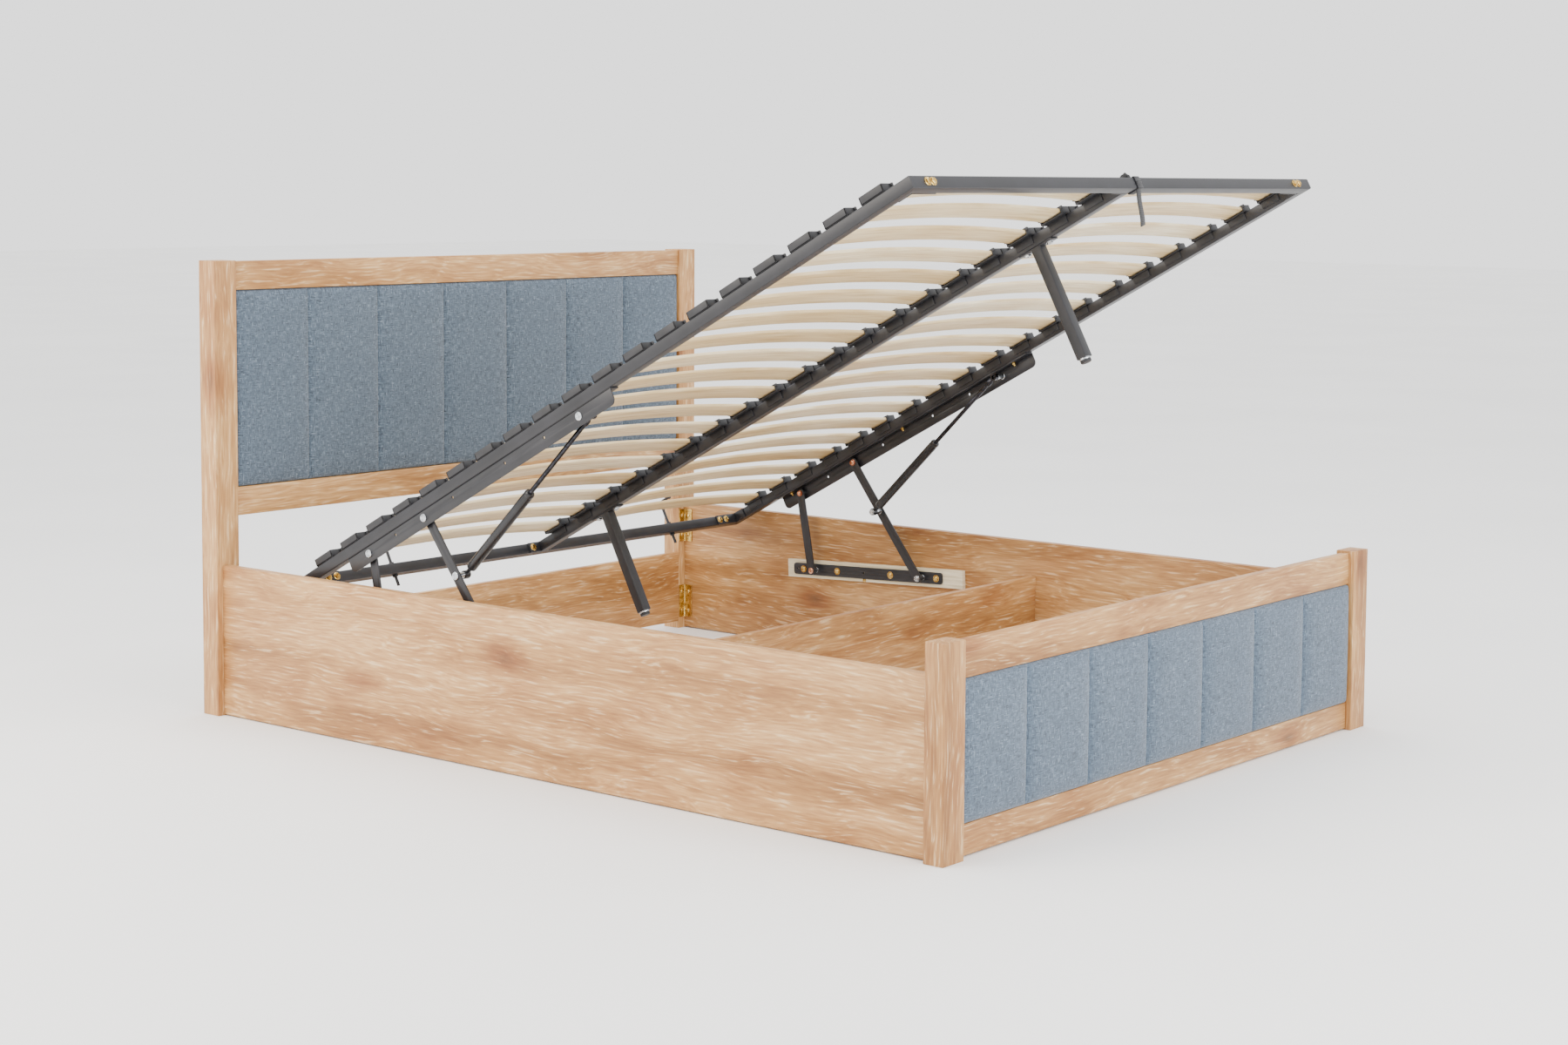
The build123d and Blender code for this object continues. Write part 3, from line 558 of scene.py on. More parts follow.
def mesh_from(parts: Iterable[Part], place: Matrix = UPRIGHT) -> bpy.types.Mesh:
    """Join parts drawn in millimetres into one mesh in metres, with outward faces.

    Args:
        parts: The parts, which are freed.
        place: Where the whole goes, in metres.

    Returns:
        The mesh.
    """
    whole = bmesh.new()
    for part in parts:
        bmesh.ops.recalc_face_normals(part, faces=part.faces)
        piece = bpy.data.meshes.new("part")
        part.to_mesh(piece)
        part.free()
        whole.from_mesh(piece)
        bpy.data.meshes.remove(piece)
    whole.transform(place @ Matrix.Scale(MM, 4))
    mesh = bpy.data.meshes.new("mesh")
    whole.to_mesh(mesh)
    whole.free()
    return mesh


def block(x: Pair, y: Pair, z: Pair, edge: float = 0.8, steps: int = 2) -> Part:
    """A block between two corners with rounded edges.

    Args:
        x: Lowest and highest X in millimetres.
        y: Lowest and highest Y.
        z: Lowest and highest Z.
        edge: Radius of the edges.
        steps: Faces across each edge.

    Returns:
        The part.
    """
    part = bmesh.new()
    spans = [sorted(s) for s in (x, y, z)]
    size = Vector([s[1] - s[0] for s in spans])
    middle = Vector([(s[0] + s[1]) / 2 for s in spans])
    bmesh.ops.create_cube(part, size=1.0, matrix=Matrix.Translation(middle) @ Matrix.Diagonal((*size, 1.0)))
    if edge > 0:
        bmesh.ops.bevel(part, geom=list(part.edges), offset=edge, segments=steps, profile=0.5, affect="EDGES")
    return part


def turned(profile: Sequence[Pair], start: Point, heading: Point, sides: int = 28) -> Part:
    """A turned part from radii along its axis.

    Args:
        profile: Radius and distance along the axis, from one end to the other.
        start: The axis's first point in millimetres.
        heading: The way the axis points.
        sides: Faces round it, six for a hexagon.

    Returns:
        The part, closed at both ends.
    """
    part = bmesh.new()
    place = Matrix.Translation(start) @ Vector(heading).to_track_quat("Z", "Y").to_matrix().to_4x4()
    rings = []
    for radius, along in profile:
        around = circle(0, 0, radius, sides)
        rings.append([part.verts.new(place @ Vector((a, b, along))) for a, b in around])
    for low, high in zip(rings, rings[1:]):
        for k in range(sides):
            part.faces.new((low[k], low[(k + 1) % sides], high[(k + 1) % sides], high[k]))
    part.faces.new(rings[0][::-1])
    part.faces.new(rings[-1])
    return part


def ring_part(
    outer: float, inner: float, start: Point, heading: Point, thickness: float, sides: int = 28
) -> Part:
    """A washer or bush with a bore, drawn in millimetres."""
    part = bmesh.new()
    place = Matrix.Translation(start) @ Vector(heading).to_track_quat("Z", "Y").to_matrix().to_4x4()
    rings = []
    for radius, along in ((inner, 0), (outer, 0), (outer, thickness), (inner, thickness)):
        around = circle(0, 0, radius, sides)
        rings.append([part.verts.new(place @ Vector((a, b, along))) for a, b in around])
    rings.append(rings[0])
    for low, high in zip(rings, rings[1:]):
        for k in range(sides):
            part.faces.new((low[k], low[(k + 1) % sides], high[(k + 1) % sides], high[k]))
    return part


def loft(sections: Sequence[Sequence[Point]]) -> Part:
    """A closed bar through sections with the same number of points."""
    part = bmesh.new()
    rings = [[part.verts.new(p) for p in section] for section in sections]
    count = len(rings[0])
    for low, high in zip(rings, rings[1:]):
        for k in range(count):
            part.faces.new((low[k], low[(k + 1) % count], high[(k + 1) % count], high[k]))
    part.faces.new(rings[0][::-1])
    part.faces.new(rings[-1])
    return part


def rounded_outline(width: float, height: float, radius: float, steps: int = 4) -> list[Pair]:
    """Outline of a rectangle round the origin with rounded corners."""
    points = []
    for cx, cy, start in ((1, 1, 0), (-1, 1, 90), (-1, -1, 180), (1, -1, 270)):
        for k in range(steps + 1):
            angle = math.radians(start + 90 * k / steps)
            x = cx * (width / 2 - radius) + radius * math.cos(angle)
            y = cy * (height / 2 - radius) + radius * math.sin(angle)
            points.append((x, y))
    return points


def circle(cx: float, cy: float, radius: float, sides: int = 24) -> list[Pair]:
    """Points of a circle."""
    return [
        (cx + radius * math.cos(2 * math.pi * k / sides), cy + radius * math.sin(2 * math.pi * k / sides))
        for k in range(sides)
    ]


def plate(
    outline: Sequence[Pair], holes: Sequence[Sequence[Pair]], x: Pair, edge: float = 0.5
) -> Part:
    """A flat plate in the YZ plane with holes and softened rims.

    Args:
        outline: Y and Z of the outline in millimetres.
        holes: Outlines of the holes.
        x: The X of its two faces.
        edge: Softening of the rims.

    Returns:
        The part.
    """
    curve = bpy.data.curves.new("plate", "CURVE")
    curve.dimensions = "2D"
    curve.fill_mode = "BOTH"
    curve.extrude = abs(x[1] - x[0]) / 2 - edge
    curve.bevel_depth = edge
    curve.bevel_resolution = 1
    curve.offset = -edge
    for loop in (outline, *holes):
        spline = curve.splines.new("POLY")
        spline.points.add(len(loop) - 1)
        spline.points.foreach_set("co", [c for a, b in loop for c in (a, b, 0.0, 1.0)])
        spline.use_cyclic_u = True
    carrier = bpy.data.objects.new("plate", curve)
    mesh = bpy.data.meshes.new_from_object(carrier)
    part = bmesh.new()
    part.from_mesh(mesh)
    bmesh.ops.remove_doubles(part, verts=part.verts, dist=0.001)
    upright = Matrix(((0, 0, 1, (x[0] + x[1]) / 2), (1, 0, 0, 0), (0, 1, 0, 0), (0, 0, 0, 1)))
    part.transform(upright)
    bpy.data.objects.remove(carrier)
    bpy.data.curves.remove(curve)
    bpy.data.meshes.remove(mesh)
    return part


def link_outline(start: Pair, end: Pair, width: float, steps: int = 12) -> list[Pair]:
    """Outline of a bar with round ends between two places."""
    heading = math.atan2(end[1] - start[1], end[0] - start[0])
    points = []
    for place, turn in ((end, -math.pi / 2), (start, math.pi / 2)):
        for k in range(steps + 1):
            angle = heading + turn + math.pi * k / steps
            points.append((place[0] + width / 2 * math.cos(angle), place[1] + width / 2 * math.sin(angle)))
    return points


def smooth_path(points: Sequence[Point], radius: float, steps: int = 6) -> list[Vector]:
    """A path with its corners rounded, as a bent rod or a folded band has."""
    path = [Vector(points[0])]
    for before, corner, after in zip(points, points[1:], points[2:]):
        a, b, c = Vector(before), Vector(corner), Vector(after)
        first = b + (a - b).normalized() * radius
        last = b + (c - b).normalized() * radius
        for k in range(steps + 1):
            t = k / steps
            path.append(first * (1 - t) ** 2 + b * 2 * t * (1 - t) + last * t**2)
    path.append(Vector(points[-1]))
    return path


def swept(path: Sequence[Vector], outline: Sequence[Pair], across: Vector) -> Part:
    """A section carried along a path.

    Args:
        path: Points in millimetres.
        outline: The section, whose first coordinate lies along across.
        across: Direction that the section keeps.

    Returns:
        The part, closed at both ends.
    """
    sections = []
    for k, point in enumerate(path):
        ahead = path[min(k + 1, len(path) - 1)] - path[max(k - 1, 0)]
        ahead.normalize()
        side = (across - ahead * across.dot(ahead)).normalized()
        up = ahead.cross(side)
        sections.append([tuple(point + side * a + up * b) for a, b in outline])
    return loft(sections)


def mirrored(points: Sequence[Point]) -> list[Point]:
    """Places at +X followed by their mirror images."""
    return [*points, *[(-x, y, z) for x, y, z in points]]


# Fasteners, placed by a Geometry Nodes tree


class Fastener(Enum):
    """Shapes of the small fasteners: radius and height profiles with their sides, in millimetres."""

    FLANGE_BOLT = (
        (((9.0, 0), (9.0, 1.0), (8.2, 1.5), (6.0, 1.6)), 20),
        (((6.9, 1.4), (6.9, 4.2), (5.9, 5.0), (3.4, 5.0), (3.0, 4.1), (0.2, 4.0)), 6),
    )
    WASHER_SCREW = (
        (((9.2, 0), (9.2, 1.2), (4.0, 1.3)), 22),
        (((6.6, 1.2), (6.4, 2.6), (4.6, 4.0), (2.0, 4.4), (1.4, 3.6), (0.2, 3.5)), 18),
    )
    NYLOC_NUT = (
        (((8.0, 0), (8.0, 1.0), (4.0, 1.1)), 20),
        (((7.4, 1.0), (7.4, 4.6), (6.6, 5.4), (5.2, 6.0), (4.1, 6.1), (4.0, 5.3), (0.2, 5.2)), 6),
    )
    PIVOT_RIVET = (((9.0, 0), (9.0, 2.2), (8.0, 3.2), (5.2, 3.5), (4.8, 2.9), (0.2, 2.8)), 24),
    CROSS_SCREW = (((5.5, 0), (5.4, 0.9), (3.8, 2.4), (1.6, 2.9), (1.2, 2.1), (0.2, 2.0)), 16),
    T_BOLT = (((5.4, 0), (5.4, 3.6), (4.8, 4.2), (2.9, 4.2), (2.9, 8.2), (2.5, 8.8), (0.2, 8.8)), 6),

    def carrier(self) -> bpy.types.Object:
        """Mesh of the fastener with its seat at the origin, pointing along Z."""
        parts = [turned(profile, (0, 0, 0), (0, 0, 1), sides) for profile, sides in self.value]
        return bpy.data.objects.new(self.name, mesh_from(parts))


def fastener_tree() -> Tree:
    """Nodes that put a fastener on each point, turned along the point's aim."""
    tree = bpy.data.node_groups.new("fasteners", "GeometryNodeTree")
    sockets = (("Points", "Geometry"), ("Fastener", "Object"), ("Finish", "Material"), ("Seed", "Int"))
    for name, kind in sockets:
        tree.interface.new_socket(name, in_out="INPUT", socket_type=f"NodeSocket{kind}")
    tree.interface.new_socket("Mesh", in_out="OUTPUT", socket_type="NodeSocketGeometry")
    given = add(tree, "NodeGroupInput").outputs
    part = add(tree, "GeometryNodeObjectInfo", {"Object": given["Fastener"]}).outputs["Geometry"]
    aim = add(tree, "GeometryNodeInputNamedAttribute", {"Name": "aim"}, data_type="FLOAT_VECTOR").outputs[0]
    turn = add(tree, "FunctionNodeAlignRotationToVector", {"Vector": aim}, axis="Z").outputs["Rotation"]
    spin = add(tree, "FunctionNodeRandomValue", {3: math.pi, "Seed": given["Seed"]}, data_type="FLOAT").outputs[1]
    twist = add(tree, "FunctionNodeAxisAngleToRotation", {"Axis": (0, 0, 1), "Angle": spin}).outputs[0]
    inputs = {"Rotation": turn, "Rotate By": twist}
    turn = add(tree, "FunctionNodeRotateRotation", inputs, rotation_space="LOCAL").outputs[0]
    inputs = {"Points": given["Points"], "Instance": part, "Rotation": turn}
    placed = add(tree, "GeometryNodeInstanceOnPoints", inputs).outputs["Instances"]
    real = add(tree, "GeometryNodeRealizeInstances", {"Geometry": placed}).outputs["Geometry"]
    done = add(tree, "GeometryNodeSetMaterial", {"Geometry": real, "Material": given["Finish"]}).outputs[0]
    add(tree, "NodeGroupOutput", {"Mesh": done})
    return tree


def grown(tree: Tree, seed_mesh: bpy.types.Mesh, values: dict[str, object]) -> bpy.types.Mesh:
    """Run a Geometry Nodes tree and keep its result as a plain mesh.

    Args:
        tree: The tree.
        seed_mesh: The mesh it starts from.
        values: Its inputs by name.

    Returns:
        The result as a mesh.
    """
    carrier = bpy.data.objects.new("carrier", seed_mesh)
    bpy.context.scene.collection.objects.link(carrier)
    modifier = carrier.modifiers.new("grow", "NODES")
    modifier.node_group = tree
    for item in tree.interface.items_tree:
        if item.in_out == "INPUT" and item.name in values:
            modifier[item.identifier] = values[item.name]
    carrier.update_tag()
    depsgraph = bpy.context.evaluated_depsgraph_get()
    mesh = bpy.data.meshes.new_from_object(carrier.evaluated_get(depsgraph))
    carrier.modifiers.remove(modifier)
    bpy.data.objects.remove(carrier)
    return mesh


@dataclass
class FastenerSet:
    """One kind of fastener at several places on one body."""

    name: str
    kind: Fastener
    spots: list[tuple[Point, Point]]
    material: bpy.types.Material
    body: str
    slot: str
    stands_for: tuple[str, ...] = ()
    place: Matrix = UPRIGHT

    def build(self, tree: Tree) -> bpy.types.Object:
        """Place the fasteners.

        Args:
            tree: The fastener tree.

        Returns:
            The piece.
        """
        points = bpy.data.meshes.new("points")
        points.from_pydata([self.place @ (Vector(p) * MM) for p, _ in self.spots], [], [])
        aim = points.attributes.new("aim", "FLOAT_VECTOR", "POINT")
        aim.data.foreach_set("vector", [c for _, d in self.spots for c in self.place.to_3x3() @ Vector(d)])
        values = {"Fastener": self.kind.carrier(), "Finish": self.material, "Seed": len(self.spots)}
        mesh = grown(tree, points, values)
        for spare in [a.name for a in mesh.attributes if a.name == "aim"]:
            mesh.attributes.remove(mesh.attributes[spare])
        return finished(self.name, mesh, self.material, self.body, self.stands_for)


# The fixed bed frame


@dataclass
class Board:
    """One foil-covered board or post, with softened edges where the CAD says."""

    node: str
    axis: Axis
    shift: Point
    edge: float = 1.0

    def build(self) -> bpy.types.Object:
        """Build and dress the board."""
        low, high = (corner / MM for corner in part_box(self.node))
        part = block((low.x, high.x), (low.y, high.y), (low.z, high.z), self.edge, 3)
        foil = OakFoil(f"oak_foil_{self.node}", self.axis, self.shift).build()
        return finished(f"{self.node}_board", mesh_from([part]), foil, "bed_frame", [self.node])


@dataclass
class Carcass:
    """Posts, side boards, rails and the boards inside the box."""

    post_edge: float = 1.6

    def build(self) -> None:
        """Build every board with its own stretch of the oak print."""
        for number, (node, axis, edge) in enumerate((
            ("head_post_left", Axis.Z, self.post_edge),
            ("head_post_right", Axis.Z, self.post_edge),
            ("foot_post_left", Axis.Z, self.post_edge),
            ("foot_post_right", Axis.Z, self.post_edge),
            ("side_board_left", Axis.Y, 1.0),
            ("side_board_right", Axis.Y, 1.0),
            ("divider_board", Axis.X, 0.8),
            ("head_end_board", Axis.X, 0.8),
            ("headboard_top_rail", Axis.X, 1.0),
            ("headboard_lower_rail", Axis.X, 1.0),
            ("footboard_top_rail", Axis.X, 1.0),
            ("footboard_bottom_rail", Axis.X, 1.0),
        )):
            shift = (1.37 * number, 0.61 * number, 0.29 * number)
            Board(node, axis, shift, edge).build()


@dataclass
class ChannelledPad:
    """An upholstered panel with upright channels sewn into it."""

    node: str
    channels: int = 7
    crown: float = 9.0
    spacing: float = 10.0
    seam_width: float = 3.2
    seam_depth: float = 3.4
    pucker: float = 0.9

    def front_sheet(self) -> tuple[Part, np.ndarray]:
        """A closed flat slab whose front is a fine grid.

        Returns:
            The slab in metres, and the X of its seams.
        """
        low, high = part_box(self.node)
        width, height = high.x - low.x, high.z - low.z
        columns = self.channels * max(8, round(width / self.channels / (self.spacing * MM)))
        rows = round(height / (self.spacing * MM))
        part = bmesh.new()
        grid = []
        for j in range(rows + 1):
            y, z = low.y + self.crown * MM, low.z + height * j / rows
            grid.append([part.verts.new((low.x + width * i / columns, y, z)) for i in range(columns + 1)])
        for j in range(rows):
            for i in range(columns):
                part.faces.new((grid[j][i], grid[j][i + 1], grid[j + 1][i + 1], grid[j + 1][i]))
        rim = [e for e in part.edges if e.is_boundary]
        made = bmesh.ops.extrude_edge_only(part, edges=rim)["geom"]
        back = [v for v in made if isinstance(v, bmesh.types.BMVert)]
        for vert in back:
            vert.co.y = high.y
        closing = [e for e in part.edges if e.is_boundary]
        bmesh.ops.holes_fill(part, edges=closing)
        bmesh.ops.recalc_face_normals(part, faces=part.faces)
        seams = np.array([low.x + width * k / self.channels for k in range(1, self.channels)])
        return part, seams

    def swell(self, piece: bpy.types.Object, seams: np.ndarray, front: float) -> None:
        """Blow the front out between the seams by cloth simulation, and cap how far it goes."""
        mesh = piece.data
        rest = np.array([v.co for v in mesh.vertices])
        near = np.abs(rest[:, 0:1] - seams[None, :]).min(1)
        step = self.spacing * MM
        edge_x = np.minimum(rest[:, 0] - rest[:, 0].min(), rest[:, 0].max() - rest[:, 0])
        edge_z = np.minimum(rest[:, 2] - rest[:, 2].min(), rest[:, 2].max() - rest[:, 2])
        held = (near < 0.3 * step) | (edge_x < 0.3 * step) | (edge_z < 0.3 * step) | (rest[:, 1] > front + 1e-4)
        group = piece.vertex_groups.new(name="sewn")
        group.add([int(k) for k in np.nonzero(held)[0]], 1.0, "REPLACE")
        cloth = piece.modifiers.new("cloth", "CLOTH")
        cloth.settings.quality = 3
        cloth.settings.vertex_group_mass = "sewn"
        cloth.settings.use_pressure = True
        cloth.settings.uniform_pressure_force = 4.0
        cloth.settings.effector_weights.gravity = 0.0
        cloth.settings.tension_stiffness = 8.0
        cloth.settings.compression_stiffness = 8.0
        cloth.settings.bending_stiffness = 0.3
        cloth.collision_settings.use_self_collision = False
        cloth.point_cache.frame_start, cloth.point_cache.frame_end = 1, 20
        for number in range(1, 21):
            bpy.context.scene.frame_set(number)
        depsgraph = bpy.context.evaluated_depsgraph_get()
        blown = np.array([v.co for v in piece.evaluated_get(depsgraph).data.vertices])
        piece.modifiers.remove(cloth)
        piece.vertex_groups.clear()
        bpy.context.scene.frame_set(1)
        rise = np.clip(rest[:, 1] - blown[:, 1], 0, None)
        scale = max(float(np.percentile(rise[~held], 60)), 1e-6)
        cap = self.crown * MM
        rise = cap * np.tanh(1.35 * rise / scale) / math.tanh(2.2)
        shift = np.clip(blown - rest, -0.002, 0.002)
        shift[:, 1] = -np.clip(rise, 0, cap)
        shift[held] = 0
        mesh.vertices.foreach_set("co", (rest + shift).ravel())

    def sew(self, mesh: bpy.types.Mesh, seams: np.ndarray, front: float) -> None:
        """Press the seams in, with small puckers beside the stitches."""
        place = np.array([v.co for v in mesh.vertices])
        gap = np.abs(place[:, 0:1] - seams[None, :]).min(1) / MM
        groove = np.exp(-((gap / self.seam_width) ** 2)) * self.seam_depth
        beat = np.sin(place[:, 2] / MM * 2 * math.pi / 17.0 + np.round(place[:, 0] * 4) * 1.7)
        beat += 0.6 * np.sin(place[:, 2] / MM * 2 * math.pi / 7.3 + place[:, 0] * 31)
        wrinkle = beat * np.exp(-gap / 11.0) * self.pucker * 0.5
        facing = place[:, 1] < front + self.crown * MM * 0.2
        place[:, 1] += np.where(facing, (groove + wrinkle) * MM, 0)
        mesh.vertices.foreach_set("co", place.ravel())

    def refined(self, carrier: bpy.types.Object) -> bpy.types.Mesh:
        """Subdivide the slab once, with its many-sided back left out meanwhile.

        Args:
            carrier: The slab, which is removed.

        Returns:
            The finer closed mesh.
        """
        work = bmesh.new()
        work.from_mesh(carrier.data)
        bmesh.ops.delete(work, geom=[f for f in work.faces if len(f.verts) > 4], context="FACES")
        work.to_mesh(carrier.data)
        level = carrier.modifiers.new("smooth", "SUBSURF")
        level.levels = level.render_levels = 1
        level.boundary_smooth = "PRESERVE_CORNERS"
        depsgraph = bpy.context.evaluated_depsgraph_get()
        fine = bpy.data.meshes.new_from_object(carrier.evaluated_get(depsgraph))
        bpy.data.objects.remove(carrier)
        work.clear()
        work.from_mesh(fine)
        bmesh.ops.holes_fill(work, edges=[e for e in work.edges if e.is_boundary])
        bmesh.ops.recalc_face_normals(work, faces=work.faces)
        work.to_mesh(fine)
        work.free()
        return fine

    def build(self, palette: Palette) -> bpy.types.Object:
        """Build the pad, swell it and sew its channels."""
        part, seams = self.front_sheet()
        mesh = bpy.data.meshes.new("pad")
        part.to_mesh(mesh)
        part.free()
        low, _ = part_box(self.node)
        front = low.y + self.crown * MM
        carrier = bpy.data.objects.new("pad", mesh)
        bpy.context.scene.collection.objects.link(carrier)
        self.swell(carrier, seams, front)
        fine = self.refined(carrier)
        self.sew(fine, seams, front)
        name = f"{self.node}_cover"
        piece = finished(name, fine, palette.weave, "bed_frame", [self.node], 60.0)
        return piece


@dataclass
class BackCover:
    """Dust cover over the back of an upholstered panel, with a hem round its edge."""

    node: str
    hem: float = 14.0
    inset: float = 2.0
    rise: float = 1.2

    def build(self, palette: Palette) -> bpy.types.Object:
        """Build the cover with its turned-in hem."""
        low, high = (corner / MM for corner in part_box(self.node))
        left, right, bottom, top = low.x + self.inset, high.x - self.inset, low.z + self.inset, high.z - self.inset
        strip = (high.y - 2, high.y)
        inner_x, inner_z = (low.x + self.hem, high.x - self.hem), (low.z + self.hem, high.z - self.hem)
        parts = [block((low.x, high.x), (low.y, high.y - self.rise), (low.z, high.z), 0.8)]
        parts.append(block((left, right), strip, (bottom, inner_z[0]), 0.6))
        parts.append(block((left, right), strip, (inner_z[1], top), 0.6))
        parts.append(block((left, inner_x[0]), strip, inner_z, 0.6))
        parts.append(block((inner_x[1], right), strip, inner_z, 0.6))
        mesh = mesh_from(parts)
        name = f"{self.node}_cover"
        return finished(name, mesh, palette.felt, "bed_frame", [self.node])


@dataclass
class CornerBrackets:
    """Folded angles between the side boards and the posts."""

    heights: Pair = (75.0, 284.0)
    length: float = 88.0
    plate: float = 2.5
    leg: float = 28.0
    board_inner: float = 762.0
    bolt_pitch: float = 52.0

    def build(self, palette: Palette, tree: Tree) -> None:
        """Build the angles and their bolts."""
        parts = []
        spots = []
        for face, inward, post_inner in ((1006.0, -1, 738.0), (-1014.0, 1, 736.0)):
            for height in self.heights:
                low, high = height - self.length / 2, height + self.length / 2
                for k in (1, -1):
                    outer = k * self.board_inner
                    corner = k * (post_inner + 1)
                    section = [
                        (outer, face),
                        (outer, face + inward * self.leg),
                        (outer - k * self.plate, face + inward * self.leg),
                        (outer - k * self.plate, face + inward * (self.plate + 2)),
                        (outer - k * (self.plate + 2), face + inward * self.plate),
                        (corner, face + inward * self.plate),
                        (corner, face),
                    ]
                    bar = loft([[(x, y, z) for x, y in section] for z in (low, high)])
                    bmesh.ops.bevel(bar, geom=list(bar.edges), offset=0.4, segments=1, affect="EDGES")
                    parts.append(bar)
                    for step in (-0.5, 0.5):
                        z = height + step * self.bolt_pitch
                        x_post = k * (post_inner + 1 + self.board_inner - self.plate) / 2
                        spots.append(((x_post, face + inward * self.plate, z), (0, inward, 0)))
                        y_board = face + inward * (self.plate + self.leg) / 2
                        spots.append(((k * (self.board_inner - self.plate), y_board, z), (-k, 0, 0)))
        mesh = mesh_from(parts)
        finished("corner_angles", mesh, palette.yellow, "bed_frame", ["corner_brackets"])
        kind, node = Fastener.CROSS_SCREW, "corner_bracket_bolts"
        screws = FastenerSet("corner_screws", kind, spots, palette.yellow, "bed_frame", "yellow_zinc", (node,))
        screws.build(tree)


# The lifting mechanism


